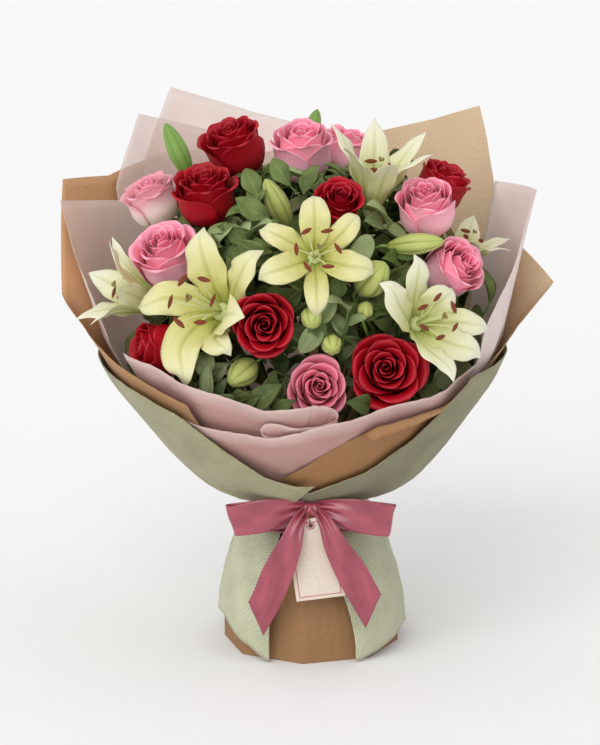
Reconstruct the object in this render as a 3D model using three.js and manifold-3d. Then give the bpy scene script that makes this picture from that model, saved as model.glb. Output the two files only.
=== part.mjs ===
// A hand-tied bouquet of roses, lilies and greens, wrapped in paper and tissue and tied with a bow.
// Millimetres, +Z up, the front towards -Y. The origin is on the floor, in the middle of the foot.
import * as THREE from "three";
import { mergeVertices } from "three/addons/utils/BufferGeometryUtils.js";
import Module from "manifold-3d";

const wasm = await Module();
wasm.setup();
const { Manifold, Mesh: SolidMesh } = wasm;

// ---- driving dimensions ----
const deg = Math.PI / 180;
const gap = 0.4; // air left between neighbouring pieces
const bowlCurve = new THREE.SplineCurve(
  [[46, 146], [84, 154], [108, 168], [131, 192], [149, 215], [167, 239], [185, 264], [196, 286], [201, 296]]
    .map(([radius, height]) => new THREE.Vector2(radius, height)),
);
const wrap = { axisX: -9, rimZ: 296, flareStep: 220, column: 12, levels: 6, bowlShare: 0.85 };
// The cloth below the tie, as height and radius; the foot inside it, as radius and height.
const skirtProfile = [[0, 89], [20, 90], [50, 88], [75, 83], [96, 77], [116, 68], [134, 57], [146, 46]];
const foot = { profile: [[84, 0], [82.5, 50], [72, 92], [60, 116]], floor: 1.4, wall: 1.2, sides: 16 };
const sheetThickness = 1;
const clothThickness = 1.2;
const tie = { height: 156, radius: 24, spread: 7.4, twineRadius: 36, twine: 1 };
const stems = {
  footRadius: 46, twist: 55 * deg, foot: 2, sides: 4, steps: 5,
  roseRadius: 2.6, lilyRadius: 3, twigRadius: 1.8, stalkRadius: 1.5,
};
const ribbon = { width: 30, thickness: 0.9, bandTop: 144, bandBottom: 122 };
const tag = { width: 46, height: 80, thickness: 0.9, hole: 2.2, shoulder: 14, holeDrop: 7 };

const materials = {
  redPetal: finish(0x9c0a17, 0.6),
  pinkPetal: finish(0xe88aa6, 0.6),
  lilyPetal: finish(0xe6e39a, 0.55),
  stem: finish(0x55702f, 0.6),
  lilyStem: finish(0x8fa64a, 0.6),
  leaf: finish(0x4f6b45, 0.6),
  kraft: finish(0xb58a5e, 0.85),
  tissue: finish(0xd9b3ae, 0.8),
  jute: finish(0xa3ab84, 0.95),
  ribbon: finish(0xb4566f, 0.35),
  card: finish(0xefe6da, 0.8),
  string: finish(0x8a6a45, 0.9),
};

// Each rose: its name, the middle of its head, the way it faces, its size, how far it is open, and its spin.
const roses = [
  ["rose_red_top", [-72, 18, 478], [-0.15, -0.45, 0.88], 0.99, 1, 20],
  ["rose_red_upper_left", [-99, -41, 441], [-0.15, -0.6, 0.8], 1, 1.02, 70],
  ["rose_red_centre_back", [25, -68, 438], [0.1, -0.7, 0.7], 0.76, 1, 10],
  ["rose_red_far_right", [123, 26, 440], [0.45, -0.15, 0.86], 0.84, 1, 45],
  ["rose_red_front", [-43, -132, 338], [-0.05, -0.98, 0.15], 0.92, 1, 0],
  ["rose_red_low_left", [-140, -80, 303], [-0.8, -0.58, 0.1], 0.96, 0.76, 30],
  ["rose_red_front_right", [69, -114, 290], [0, -0.95, 0.28], 1.06, 1.08, 200],
  ["rose_pink_far_left", [-150, 6, 430], [-0.35, -0.3, 0.9], 0.88, 0.88, 15],
  ["rose_pink_left", [-134, -60, 386], [-0.22, -0.72, 0.66], 1.04, 1, 100],
  ["rose_pink_top", [-9, 22, 474], [-0.05, -0.4, 0.92], 1.02, 0.94, 60],
  ["rose_pink_behind", [32, 66, 470], [0.25, -0.1, 0.95], 0.84, 0.85, 0],
  ["rose_pink_upper_right", [107, -49, 430], [0.08, -0.7, 0.7], 0.93, 0.94, 150],
  ["rose_pink_right", [130, -66, 376], [0.6, -0.65, 0.42], 0.9, 0.88, 80],
  ["rose_pink_front", [5, -132, 278], [0.05, -0.94, 0.33], 0.88, 1, 40],
].map(([name, at, face, size, open, spin]) => {
  const red = name.startsWith("rose_red");
  return { name, red, at, face, size, open, spin };
});

// Each lily: its name, the bottom of its throat, the way it faces, its size, how far it is open, its spin,
// how far each petal stands off its even place, in degrees, from the topmost petal on round, and the petals
// that are cramped by a neighbour and stay short.
const lilies = [
  ["lily_centre", [2, -112, 394], [0.06, -0.93, 0.36], 0.98, 1, 4, [0, 3, -8, 0, 12, 12], []],
  ["lily_left", [-76, -86, 338], [-0.5, -0.8, 0.34], 1.4, 0.72, -25, [6, 22, 45, 30, 15, 12], [3, 4]],
  ["lily_far_left", [-138, -44, 336], [-0.85, -0.3, 0.45], 1.04, 0.2, 20, [0, 0, 0, 0, 0, 0], []],
  ["lily_top_right", [54, -24, 420], [0.16, -0.28, 0.94], 1.12, 0.1, 10, [0, 0, 0, 0, 0, 0], []],
  ["lily_low_right", [92, -88, 328], [0.42, -0.84, 0.3], 1.16, 0.68, -8, [-14, -20, -34, 26, 10, -7], [0]],
  ["lily_far_right", [134, -2, 362], [0.42, -0.14, 0.9], 0.88, 0.32, 0, [0, 0, 0, 0, 0, 0], []],
].map(([name, at, face, size, open, spin, fan, short]) => ({ name, at, face, size, open, spin, fan, short }));

// Lily buds: which lily's stem carries each, where its base is, the way it points, its length and width.
const buds = [
  ["lily_far_left", [-114, 6, 452], [-0.4, -0.08, 0.9], 58, 20],
  ["lily_centre", [-20, -46, 412], [-0.42, -0.2, 0.88], 54, 23],
  ["lily_top_right", [69, -80, 400], [0.98, -0.15, 0.12], 54, 20],
  ["lily_low_right", [44, -103, 361], [0.5, -0.5, 0.7], 44, 31],
  ["lily_low_right", [48, -116, 342], [0.1, -0.6, 0.8], 18, 15],
  ["lily_left", [0, -127, 352], [0, -0.75, -0.66], 23, 20],
  ["lily_low_right", [17, -122, 323], [0.1, -0.9, -0.4], 22, 19],
  ["lily_left", [-52, -104, 297], [-0.6, -0.72, -0.4], 38, 26],
  ["lily_top_right", [-4, 70, 470], [0.25, -0.05, 0.97], 42, 17],
].map(([on, at, face, length, width]) => ({ on, at, face, length, width }));

// Sprays of greens: where each tip is, how many leaves it has, their length and width, and the first turn.
const sprays = [
  { name: "eucalyptus_front", tip: [33, -134, 352], leaves: 10, length: 31, width: 21, turn: 40 },
  { name: "eucalyptus_upper_left", tip: [-58, -84, 408], leaves: 9, length: 36, width: 19, turn: 150 },
  { name: "eucalyptus_low_left", tip: [-96, -128, 286], leaves: 10, length: 31, width: 20, turn: 260 },
  { name: "greens_right", tip: [168, -50, 344], leaves: 9, length: 42, width: 20, turn: 10 },
  { name: "greens_back", tip: [84, 68, 446], leaves: 10, length: 44, width: 24, turn: 80 },
];

// How fast the sheets go on outwards above the bowl's rim, by the angle from the front.
const flares = [
  [-180, 0.14], [-135, 0.15], [-96, 0.24], [-60, 0.2], [60, 0.2], [96, 0.21], [132, 0.23], [156, 0.14],
];

// Sheets: the inset from the outermost wrap, any side flap that turns outwards, and the top edge, as the
// angle of its start and a height for every column from there on.
const sheets = [
  {
    name: "kraft_sheet_left", inset: 5.6, flap: { at: -92, width: 19, slope: 0.85 },
    from: -192, rim: [444, 446, 448, 452, 456, 447, 438, 439, 335, 314, 299, 286, 276, 262],
  },
  {
    name: "kraft_sheet_right", inset: 8.2, flap: { at: 92, width: 18, slope: 1 },
    from: -12,
    rim: [182, 200, 222, 240, 254, 268, 282, 302, 328, 345, 376, 418, 500, 484, 472, 460, 453, 446],
  },
  { name: "tissue_back_outer", inset: 10.6, flap: null, from: -180, rim: [474, 486, 501, 516, 444] },
  { name: "tissue_back_inner", inset: 12.8, flap: null, from: -156, rim: [468, 481, 492, 424] },
  {
    name: "tissue_left", inset: 15, flap: { at: -96, width: 24, slope: 0.12 },
    from: -132, rim: [406, 410, 415, 421, 352, 306],
  },
  { name: "tissue_right", inset: 11.8, flap: null, from: 60, rim: [318, 368, 438, 435, 432, 430] },
  { name: "tissue_front_left", inset: 14, flap: null, from: -60, rim: [298, 290, 282, 274, 267, 262, 256] },
  {
    name: "tissue_front_right", inset: 11.2, flap: null,
    from: -24, rim: [250, 250, 254, 260, 272, 286, 304],
  },
];

// A rose stem's leaves: their size, the turn from one stem's first leaf to the next's, and where they are.
const roseLeaf = { length: 34, width: 18, turn: 70, from: 0.14, to: 0.3 };
// Where a spray's leaves are along its twig, and how steeply the twig comes down from its tip.
const sprayLeaf = { from: 0.01, to: 0.4, drop: 320 };

// ---- small helpers ----
function finish(colour, roughness, metalness = 0) {
  return new THREE.MeshStandardMaterial({ color: colour, roughness, metalness });
}

function vec(x, y, z) {
  return new THREE.Vector3(x, y, z);
}

// The value at x on a line of [x, value] points, in rising order of x.
function along(points, x) {
  const last = points.length - 1;
  if (x <= points[0][0]) return points[0][1];
  if (x >= points[last][0]) return points[last][1];
  const i = points.findIndex((p) => p[0] > x) - 1;
  const share = (x - points[i][0]) / (points[i + 1][0] - points[i][0]);
  return THREE.MathUtils.lerp(points[i][1], points[i + 1][1], share);
}

// A closed mesh as a solid that booleans can use.
function solidOf(geometry) {
  const bare = new THREE.BufferGeometry().setAttribute("position", geometry.getAttribute("position"));
  if (geometry.index) bare.setIndex(geometry.index);
  const merged = mergeVertices(bare, 1e-3);
  return new Manifold(new SolidMesh({
    numProp: 3,
    vertProperties: new Float32Array(merged.attributes.position.array),
    triVerts: new Uint32Array(merged.index.array),
  }));
}

function geometryOf(solid) {
  const mesh = solid.getMesh();
  return new THREE.BufferGeometry()
    .setAttribute("position", new THREE.BufferAttribute(new Float32Array(mesh.vertProperties), 3))
    .setIndex(new THREE.BufferAttribute(new Uint32Array(mesh.triVerts), 1));
}

// The pieces joined, without any scrap that hangs loose.
function joined(pieces) {
  const parts = Manifold.union(pieces).decompose();
  return parts.reduce((a, b) => (b.volume() > a.volume() ? b : a)).simplify(0.02);
}

// A sheet of points in rows, as triangles: its list of points, its faces, its normals and its open edges.
// A row of one point is a tip.
function sheetOf(rows) {
  const points = [];
  const index = rows.map((row) => row.map((p) => points.push(p) - 1));
  const faces = [];
  for (let i = 0; i + 1 < index.length; i++) {
    const [a, b] = [index[i], index[i + 1]];
    for (let k = 0; k + 1 < Math.max(a.length, b.length); k++) {
      if (a.length === 1) faces.push([a[0], b[k + 1], b[k]]);
      else if (b.length === 1) faces.push([a[k], a[k + 1], b[0]]);
      else faces.push([a[k], a[k + 1], b[k + 1]], [a[k], b[k + 1], b[k]]);
    }
  }
  const normals = points.map(() => vec(0, 0, 0));
  const edges = new Map();
  faces.forEach(([a, b, c]) => {
    const normal = points[b].clone().sub(points[a]).cross(points[c].clone().sub(points[a])).normalize();
    [[a, b, c], [b, c, a], [c, a, b]].forEach(([at, next, other]) => {
      const corner = points[next].clone().sub(points[at]).angleTo(points[other].clone().sub(points[at]));
      normals[at].addScaledVector(normal, corner);
    });
    [[a, b], [b, c], [c, a]].forEach(([p, q]) => {
      if (!edges.delete(q + "," + p)) edges.set(p + "," + q, [p, q]);
    });
  });
  normals.forEach((normal) => normal.normalize());
  return { points, index, faces, normals, edges: [...edges.values()] };
}

// Adds the sheet to a mesh as a blade of some thickness. It is closed all round, or it grows out of a base: a
// triangle of the mesh that is left open for it, given as its left, right and top corners.
function addBlade(mesh, rows, thickness, base = null) {
  const { points, index, faces, normals, edges } = sheetOf(rows);
  const face = (side) => points.map((p, i) => (
    mesh.points.push(p.clone().addScaledVector(normals[i], side * thickness * 0.5)) - 1
  ));
  const [outer, inner] = [face(1), face(-1)];
  faces.forEach(([a, b, c]) => {
    mesh.triangles.push([outer[a], outer[b], outer[c]], [inner[a], inner[c], inner[b]]);
  });
  const root = index[0];
  const atRoot = ([p, q]) => base && root.includes(p) && root.includes(q);
  edges.filter((edge) => !atRoot(edge)).forEach(([p, q]) => {
    mesh.triangles.push([outer[q], outer[p], inner[p]], [outer[q], inner[p], inner[q]]);
  });
  if (!base) return;
  const [left, right, top] = base;
  const middle = Math.floor(root.length / 2);
  const [first, last] = [root[0], root[root.length - 1]];
  for (let k = 0; k + 1 < root.length; k++) {
    const [p, q] = [root[k], root[k + 1]];
    mesh.triangles.push([k < middle ? left : right, outer[q], outer[p]], [top, inner[p], inner[q]]);
  }
  mesh.triangles.push([left, right, outer[root[middle]]]);
  mesh.triangles.push([top, left, outer[first]], [top, outer[first], inner[first]]);
  mesh.triangles.push([right, top, inner[last]], [right, inner[last], outer[last]]);
}

// A core of stacked rings, [radius, height], each turned half a step from the last, with a point at each end.
// grow(band, turn, j) gives the rows and the thickness of the blade that grows out there, if there is one.
function addCore(mesh, sides, rings, grow) {
  const step = (2 * Math.PI) / sides;
  const index = rings.map(([radius, height], k) => {
    const corners = radius === 0 ? 1 : sides;
    return Array.from({ length: corners }, (_, j) => {
      const turn = (j + k / 2) * step;
      return mesh.points.push(vec(radius * Math.cos(turn), radius * Math.sin(turn), height)) - 1;
    });
  });
  for (let k = 0; k + 1 < rings.length; k++) {
    const [low, high] = [index[k], index[k + 1]];
    for (let j = 0; j < sides; j++) {
      const next = (j + 1) % sides;
      if (low.length === 1) mesh.triangles.push([low[0], high[next], high[j]]);
      else if (high.length === 1) mesh.triangles.push([low[j], low[next], high[0]]);
      else {
        mesh.triangles.push([low[next], high[next], high[j]]);
        const blade = grow(k, (j + (k + 1) / 2) * step, j);
        if (blade) addBlade(mesh, blade.rows, blade.thickness, [low[j], low[next], high[j]]);
        else mesh.triangles.push([low[j], low[next], high[j]]);
      }
    }
  }
}

function meshGeometry({ points, triangles }) {
  return new THREE.BufferGeometry().setFromPoints(points).setIndex(triangles.flat());
}

function blade(rows, thickness) {
  const mesh = { points: [], triangles: [] };
  addBlade(mesh, rows, thickness);
  return meshGeometry(mesh);
}

// A rod with flat ends through the points, with a few sides.
function rod(points, radius, sides, steps) {
  const section = new THREE.Shape();
  for (let i = 0; i < sides; i++) {
    const turn = (i / sides) * 2 * Math.PI;
    const corner = [radius * Math.cos(turn), radius * Math.sin(turn)];
    if (i === 0) section.moveTo(...corner);
    else section.lineTo(...corner);
  }
  const path = new THREE.CatmullRomCurve3(points, false, "centripetal");
  return new THREE.ExtrudeGeometry(section, { steps, extrudePath: path, bevelEnabled: false });
}

// The turn and place that take a part from its own frame, +Z outwards, to where it sits.
function poseOf(at, face, spin = 0) {
  const turn = new THREE.Quaternion().setFromUnitVectors(vec(0, 0, 1), vec(...face).normalize());
  turn.multiply(new THREE.Quaternion().setFromAxisAngle(vec(0, 0, 1), spin * deg));
  return new THREE.Matrix4().compose(vec(...at), turn, vec(1, 1, 1));
}

function moved(geometry, matrix) {
  return solidOf(geometry.clone().applyMatrix4(matrix));
}

// ---- flowers ----
// A rose is a core with three rings of petals, from the outermost, lowest one to the innermost.
const roseHeight = 52;
const roseCore = [[0, 0], [7, 1], [8.5, 7], [8.5, 14], [7, 21], [4.5, 44], [0, 45]];
const roseSides = 5;
const roseRings = {
  1: { belly: 29, rim: 33, height: 38, arc: 68, columns: 3 },
  2: { belly: 21.5, rim: 23, height: 46, arc: 68, columns: 3 },
  3: { belly: 13.5, rim: 13, height: 51, arc: 64, columns: 2 },
};

// The rows of one rose petal: a cupped blade, its leading edge a little nearer the middle than its other one.
function rosePetal({ belly, rim, height, arc, columns }, turn, open) {
  const lap = 1.2;
  const row = (radius, level, share, droop) => Array.from({ length: columns }, (_, k) => {
    const side = (2 * k) / (columns - 1) - 1;
    const angle = turn + side * share * (arc / 2) * deg;
    const reach = radius + side * lap;
    return vec(reach * Math.cos(angle), reach * Math.sin(angle), level - side * side * droop);
  });
  return [row(belly * (0.8 + 0.2 * open), height * 0.45, 1, 0), row(rim * open, height, 0.86, height * 0.13)];
}

function roseHead({ size, open }) {
  const mesh = { points: [], triangles: [] };
  addCore(mesh, roseSides, roseCore, (band, turn) => {
    const ring = roseRings[band];
    return ring && { rows: rosePetal(ring, turn, ring.columns === 2 ? 1 : open), thickness: 1 };
  });
  return meshGeometry(mesh).scale(size, size, size);
}

// A lily is a throat that carries six petals, then six stamens, and ends in the pistil.
const lilyCore = [[0, -0.4], [4.5, 0], [7, 7], [7, 13], [1.3, 14], [1.2, 48], [3, 51], [0, 53]];
const lilySides = 6;
// Stations along a lily petal: its width, and [radius, height] when the bloom is shut and when it is open.
const lilyStations = [
  { width: 13, shut: [10, 22], open: [15, 18] },
  { width: 27, shut: [18, 46], open: [34, 27] },
  { width: 20, shut: [28, 64], open: [50, 26] },
  { width: 0, shut: [38, 80], open: [60, 17] },
];
const lilyStamen = [
  { width: 1.3, reach: 0.5, height: 28 },
  { width: 1.3, reach: 0.9, height: 44 },
  { width: 8, reach: 1, height: 46.5 },
];

// The rows of one lily petal, curved round the throat while it is shut and flat when it is open. The three
// inner ones are broad, and the three outer ones narrow and set further back. It leaves the throat at turn
// and swings aside on its way out, and a petal with less stretch ends sooner.
function lilyPetal(turn, aside, open, inner, stretch) {
  const share = inner ? 1.08 : 0.86;
  const back = inner ? 0 : 4;
  const flat = THREE.MathUtils.clamp(open, 0, 1);
  return lilyStations.map((station, k) => {
    const [radius, height] = [0, 1].map((axis) => {
      const full = THREE.MathUtils.lerp(station.shut[axis], station.open[axis], open);
      return k === 0 ? full : THREE.MathUtils.lerp(lilyStations[0].shut[axis], full, stretch);
    });
    const reach = radius + back * (1 - flat);
    const half = station.width * share * 0.5;
    const place = (side, lift) => vec(
      THREE.MathUtils.lerp(reach * Math.cos(half / reach * side), reach, flat),
      side * THREE.MathUtils.lerp(reach * Math.sin(half / reach), half, flat),
      height - back * flat + lift * flat,
    ).applyAxisAngle(vec(0, 0, 1), turn + aside * Math.min(1, 0.3 + 0.35 * k));
    return station.width === 0 ? [place(0, 0)] : [place(-1, 1.5), place(0, -1), place(1, 1.5)];
  });
}

// The rows of one stamen: a thread that ends in a bar.
function stamenRows(turn, open) {
  const spread = THREE.MathUtils.lerp(9, 19, open);
  return lilyStamen.map(({ width, reach, height }) => [-1, 1].map((side) => (
    vec(spread * reach, side * width * 0.5, height).applyAxisAngle(vec(0, 0, 1), turn)
  )));
}

// A lily in its place. A petal or a stamen that would meet a neighbour is bent until it is clear.
function lilyBloom({ size, open, spin, fan, short }, matrix) {
  const scaled = new THREE.Matrix4().makeScale(size, size, size).premultiply(matrix)
    .multiply(new THREE.Matrix4().makeRotationZ(spin * deg));
  const own = [];
  const fit = (ways, thickness) => {
    const chosen = ways.find((rows) => {
      const solid = moved(blade(rows, thickness), scaled);
      return isClear(solid) && own.every((other) => other.minGap(solid, gap) >= gap);
    }) ?? ways[0];
    own.push(moved(blade(chosen, thickness), scaled));
    return chosen;
  };
  const mesh = { points: [], triangles: [] };
  addCore(mesh, lilySides, lilyCore, (band, turn, j) => {
    if (band === 2) {
      const allowed = petalWays.filter(({ stretch }) => !short.includes(j) || stretch < 0.7);
      const ways = allowed.map(({ stretch, bend, swing }) => {
        const opened = THREE.MathUtils.clamp(open + bend, -0.1, 1.15);
        return lilyPetal(turn, (fan[j] + swing) * deg, opened, j % 2 === 0, stretch);
      });
      return { rows: fit(ways, petalThickness), thickness: petalThickness };
    }
    if (band === 3 && (j % 2 === 0 || open > 0.35)) {
      const ways = stamenBends.map((bend) => stamenRows(turn, open + bend));
      return { rows: fit(ways, stamenThickness), thickness: stamenThickness };
    }
    return null;
  });
  return moved(meshGeometry(mesh), scaled);
}
const petalThickness = 1;
const stamenThickness = 1.4;
// The ways that a petal may go, from the best one: at its full length, bent and swung a little, then shorter.
const petalBends = [0, 0.12, -0.12, 0.24, -0.24, 0.36, -0.36];
const petalWays = [1, 0.8, 0.62, 0.48].flatMap((stretch) => petalBends.flatMap(
  (bend) => [0, 7, -7, 14, -14].map((swing) => ({ stretch, bend, swing })),
));
const stamenBends = [0, -0.3, 0.3, -0.6, -0.9];

function budSolid({ at, face, length, width }) {
  const outline = [[0, 0], [0.2, 0], [0.5, 0.42], [0.42, 0.75], [0.12, 1], [0, 1]];
  const profile = outline.map(([r, z]) => new THREE.Vector2(r * width, z * length));
  return moved(new THREE.LatheGeometry(profile, 5).rotateX(Math.PI / 2), poseOf(at, face));
}

// ---- stems and leaves ----
// Where every stem passes the tie: in the order of its bloom round and out from the middle, nudged apart.
function tiePlaces(starts) {
  const places = starts.map((p) => vec(p.x, p.y, 0).divideScalar(Math.max(p.z - 120, 60)));
  const widest = Math.max(...places.map((p) => p.length()));
  places.forEach((p) => p.multiplyScalar((tie.radius / widest) * 1.2));
  for (let round = 0; round < 200; round++) {
    for (let i = 0; i < places.length; i++) {
      for (let j = 0; j < i; j++) {
        const apart = places[i].clone().sub(places[j]);
        const push = (tie.spread - apart.length()) / 2;
        if (push <= 0) continue;
        apart.normalize().multiplyScalar(push);
        places[i].add(apart);
        places[j].sub(apart);
      }
      places[i].clampLength(0, tie.radius);
    }
  }
  return places;
}

// A stem's line: straight out of its bloom, past the point where it may bend, through the tie to the foot.
function stemLine(start, back, place, bend) {
  const out = start.clone().addScaledVector(back, 18);
  const knot = place.clone().setZ(tie.height);
  const end = place.clone().applyAxisAngle(vec(0, 0, 1), stems.twist);
  end.multiplyScalar(stems.footRadius / tie.radius).setZ(stems.foot);
  return [start, out, out.clone().lerp(knot, 0.5).add(bend), knot, end];
}
const stemBends = [vec(0, 0, 0), ...[6, 11, 16, 22, 30].flatMap((reach) => [0, 1, 2, 3, 4, 5, 6, 7].map(
  (step) => vec(reach * Math.cos((step * Math.PI) / 4), reach * Math.sin((step * Math.PI) / 4), 0),
))];

// A pointed leaf from a root along a direction, with its face towards up, raised by curl in its middle.
function leafBlade(root, direction, up, length, width, curl) {
  const d = direction.clone().normalize();
  const side = d.clone().cross(up).normalize();
  const lift = side.clone().cross(d).normalize();
  const spot = (share, across, rise) => root.clone().addScaledVector(d, share * length)
    .addScaledVector(side, across * width * 0.5).addScaledVector(lift, rise * curl * length);
  return solidOf(blade([
    [spot(0, 0, 0)],
    [spot(0.3, -0.95, 0.8), spot(0.3, 0.95, 0.8)],
    [spot(0.66, -0.85, 1), spot(0.66, 0.85, 1)],
    [spot(1, 0, 0)],
  ], leafThickness));
}

// The green cup under a rose: a round hip with five sepals that stand out below the petals.
const cupCore = [[0, -13], [2.6, -12.6], [5.2, -8], [5, -3.4], [3.6, -0.7], [0, -0.6]];
function roseCup({ size }, matrix) {
  const mesh = { points: [], triangles: [] };
  const sepal = (turn) => [[[11, 3.2, -4], [11, -3.2, -4]].reverse(), [[24, 0, -8]]].map((row) => row.map(
    ([x, y, z]) => vec(x, y, z).applyAxisAngle(vec(0, 0, 1), turn),
  ));
  const growSepal = (band, turn) => (band === 2 ? { rows: sepal(turn), thickness: leafThickness } : null);
  addCore(mesh, roseSides, cupCore, growSepal);
  return moved(meshGeometry(mesh).scale(size, size, size), matrix);
}

// Leaves along a stretch of a stem, each turned on by the golden angle and swung until it is clear.
const golden = 137.5;
const leafThickness = 0.8;
const leafSwings = [0, 20, -20, 40, -40, 60, -60, 90, -90];
function leavesAlong(path, { leaves, length, width, turn }, from, to) {
  const pieces = [];
  for (let i = 0; i < leaves; i++) {
    const share = THREE.MathUtils.lerp(from, to, i / leaves);
    const root = path.getPointAt(share);
    const forward = path.getTangentAt(share).negate();
    const across = forward.clone().cross(vec(0, 1, 0)).normalize();
    const size = 0.82 + 0.18 * Math.cos(i * 2.4);
    const leaf = firstClear(leafSwings.map((swing) => () => {
      const around = across.clone().applyAxisAngle(forward, (turn + i * golden + swing) * deg);
      const direction = around.addScaledVector(forward, 0.7);
      return leafBlade(root, direction, forward, length * size, width * size, 0.12);
    }), false);
    if (leaf) pieces.push(leaf);
  }
  return pieces;
}

// ---- clearances ----
const placed = []; // every solid that is already where it stays
function boxesMeet(a, b) {
  const [p, q] = [a.boundingBox(), b.boundingBox()];
  return [0, 1, 2].every((k) => p.min[k] < q.max[k] + gap && q.min[k] < p.max[k] + gap);
}

function isClear(solid) {
  return placed.every((other) => !boxesMeet(solid, other) || solid.minGap(other, gap) >= gap);
}

// The first of several ways to make a piece that touches nothing; else the first way of all, or nothing.
function firstClear(ways, always = true) {
  for (const make of ways) {
    const solid = make();
    if (isClear(solid)) return solid;
  }
  return always ? ways[0]() : null;
}

const bouquet = new THREE.Group();
function add(name, solid, material) {
  const mesh = new THREE.Mesh(geometryOf(solid), material);
  mesh.name = name;
  bouquet.add(mesh);
  placed.push(solid);
}

// ---- wrap ----
// The bowl of the wrap by arc length: its end heights and how far along each height lies.
const bowlSamples = Array.from({ length: 61 }, (_, i) => [bowlCurve.getPointAt(i / 60).y, i / 60]);
function climbTo(height) {
  return height > wrap.rimZ ? 1 + (height - wrap.rimZ) / wrap.flareStep : along(bowlSamples, height);
}

// A point of the wrap: the angle from the front, the climb (1 at the bowl's rim), and how deep inside the
// outermost sheet it lies.
function wrapPoint(angle, climb, inset, flap = 0) {
  const share = Math.min(climb, 1);
  const at = bowlCurve.getPointAt(share);
  const run = bowlCurve.getTangentAt(share);
  const above = Math.max(climb - 1, 0) * wrap.flareStep;
  const radius = at.x - run.y * inset + above * (along(flares, angle) + flap);
  const height = at.y + run.x * inset + above;
  return vec(wrap.axisX * share + radius * Math.sin(angle * deg), -radius * Math.cos(angle * deg), height);
}

// One sheet of paper or tissue, from the tie up to its own top edge.
function sheetSolid({ inset, from, rim, flap }) {
  const last = wrap.levels - 1;
  const rows = Array.from({ length: wrap.levels }, (_, k) => rim.map((height, column) => {
    const angle = from + column * wrap.column;
    const top = climbTo(height);
    const climb = k === last ? top : (Math.min(1, top * wrap.bowlShare) * k) / (last - 1);
    const turnOut = flap ? flap.slope * Math.max(0, 1 - Math.abs(angle - flap.at) / flap.width) : 0;
    return wrapPoint(angle, climb, inset, turnOut);
  }));
  return solidOf(blade(rows, sheetThickness));
}

// The woven cloth: one sheet from the foot through the tie to the rim, its left end lapped over its right.
const cloth = {
  columns: 26,
  top: [
    [0, 184], [8, 183], [20, 192], [32, 218], [44, 254], [56, 268], [68, 276], [92, 286], [188, 292],
    [278, 290], [308, 284], [314, 264], [323, 226], [338, 194], [349, 184], [362, 172], [374, 166],
  ],
  turn: 8, // the angle of its left end in front
  span: 374, // how far round it goes above the tie
  hemOpen: [-26, 28], // the front opening at the hem
  hemLevels: [0, 0.3, 0.68, 1],
  bowlLevels: [0.25, 0.5, 0.75, 1],
  lap: 3.4, // how far its right end lies inside its left end
};
function clothWrap() {
  const shares = Array.from({ length: cloth.columns + 1 }, (_, i) => i / cloth.columns);
  const rows = cloth.hemLevels.map((level) => shares.map((s) => {
    const corner = Math.min(1, Math.min(s, 1 - s) * 6);
    const hem = THREE.MathUtils.lerp(1.2, 20, Math.sin((corner * Math.PI) / 2));
    const height = THREE.MathUtils.lerp(hem, skirtTop, level);
    const low = THREE.MathUtils.lerp(cloth.hemOpen[0], cloth.hemOpen[1] - 360, s);
    const high = THREE.MathUtils.lerp(cloth.turn, cloth.turn - cloth.span, s);
    const angle = THREE.MathUtils.lerp(low, high, level * level) * deg;
    const radius = along(skirtProfile, height) + 0.6 - cloth.lap * s * level;
    return vec(radius * Math.sin(angle), -radius * Math.cos(angle), height);
  }));
  cloth.bowlLevels.forEach((level) => rows.push(shares.map((s) => {
    const climb = climbTo(along(cloth.top, s * cloth.span)) * level;
    return wrapPoint(cloth.turn - s * cloth.span, climb, cloth.lap * s);
  })));
  return solidOf(blade(rows, clothThickness));
}
const skirtTop = skirtProfile[skirtProfile.length - 1][0];

// The kraft foot under the cloth: a folded paper cup, shut and flat where it stands.
function kraftFoot() {
  const outer = foot.profile.map((point) => new THREE.Vector2(...point));
  const inner = outer.map((p) => new THREE.Vector2(p.x - foot.wall, Math.max(p.y, foot.floor))).reverse();
  const profile = [new THREE.Vector2(0, 0), ...outer, ...inner, new THREE.Vector2(0, foot.floor)];
  return solidOf(new THREE.LatheGeometry(profile, foot.sides).rotateX(Math.PI / 2));
}

// ---- tie ----
// A ring round the axis with a small round section.
function twineRing() {
  const section = new THREE.EllipseCurve(tie.twineRadius, tie.height, tie.twine, tie.twine).getPoints(4);
  return solidOf(new THREE.LatheGeometry(section, 12).rotateX(Math.PI / 2));
}

// A strip of ribbon through the points, each with its width and the lean of its cross line from upright.
function ribbonStrip(stations) {
  return solidOf(blade(stations.map(([at, width, lean]) => {
    const across = vec(Math.sin(lean * deg), 0, Math.cos(lean * deg)).multiplyScalar(width / 2);
    return [at.clone().sub(across), at.clone().add(across)];
  }), ribbon.thickness));
}

// One bow loop: out along the front, round the end and back behind, gathered at the knot. Each row is a
// place, the width there and the lean, for the right side of the bow; the left side is its mirror image.
const loopRows = [
  [2, -95, 149, 9, 0], [16, -102, 150, 18, 6], [42, -107, 147, 30, 10], [70, -101, 142, 30, 12],
  [76, -94, 141, 30, 12], [70, -88, 141, 30, 12], [42, -92, 144, 30, 8], [16, -92, 149, 17, 4],
  [2, -91, 149, 9, 0],
];
// The tails: from the knot down over the skirt, their ends cut on a slant.
const leftTailRows = [
  [3, -95, 148, 9, 62], [13, -98, 130, 21, 60], [29, -96, 99, 30, 62], [43, -94, 67, 30, 68],
  [54, -93, 42, 15, 30],
];
const rightTailRows = [
  [3, -95, 148, 9, 62], [17, -98, 128, 21, 56], [36, -95, 99, 30, 58], [51, -92, 71, 30, 68],
  [60, -90, 51, 15, 108],
];
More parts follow.
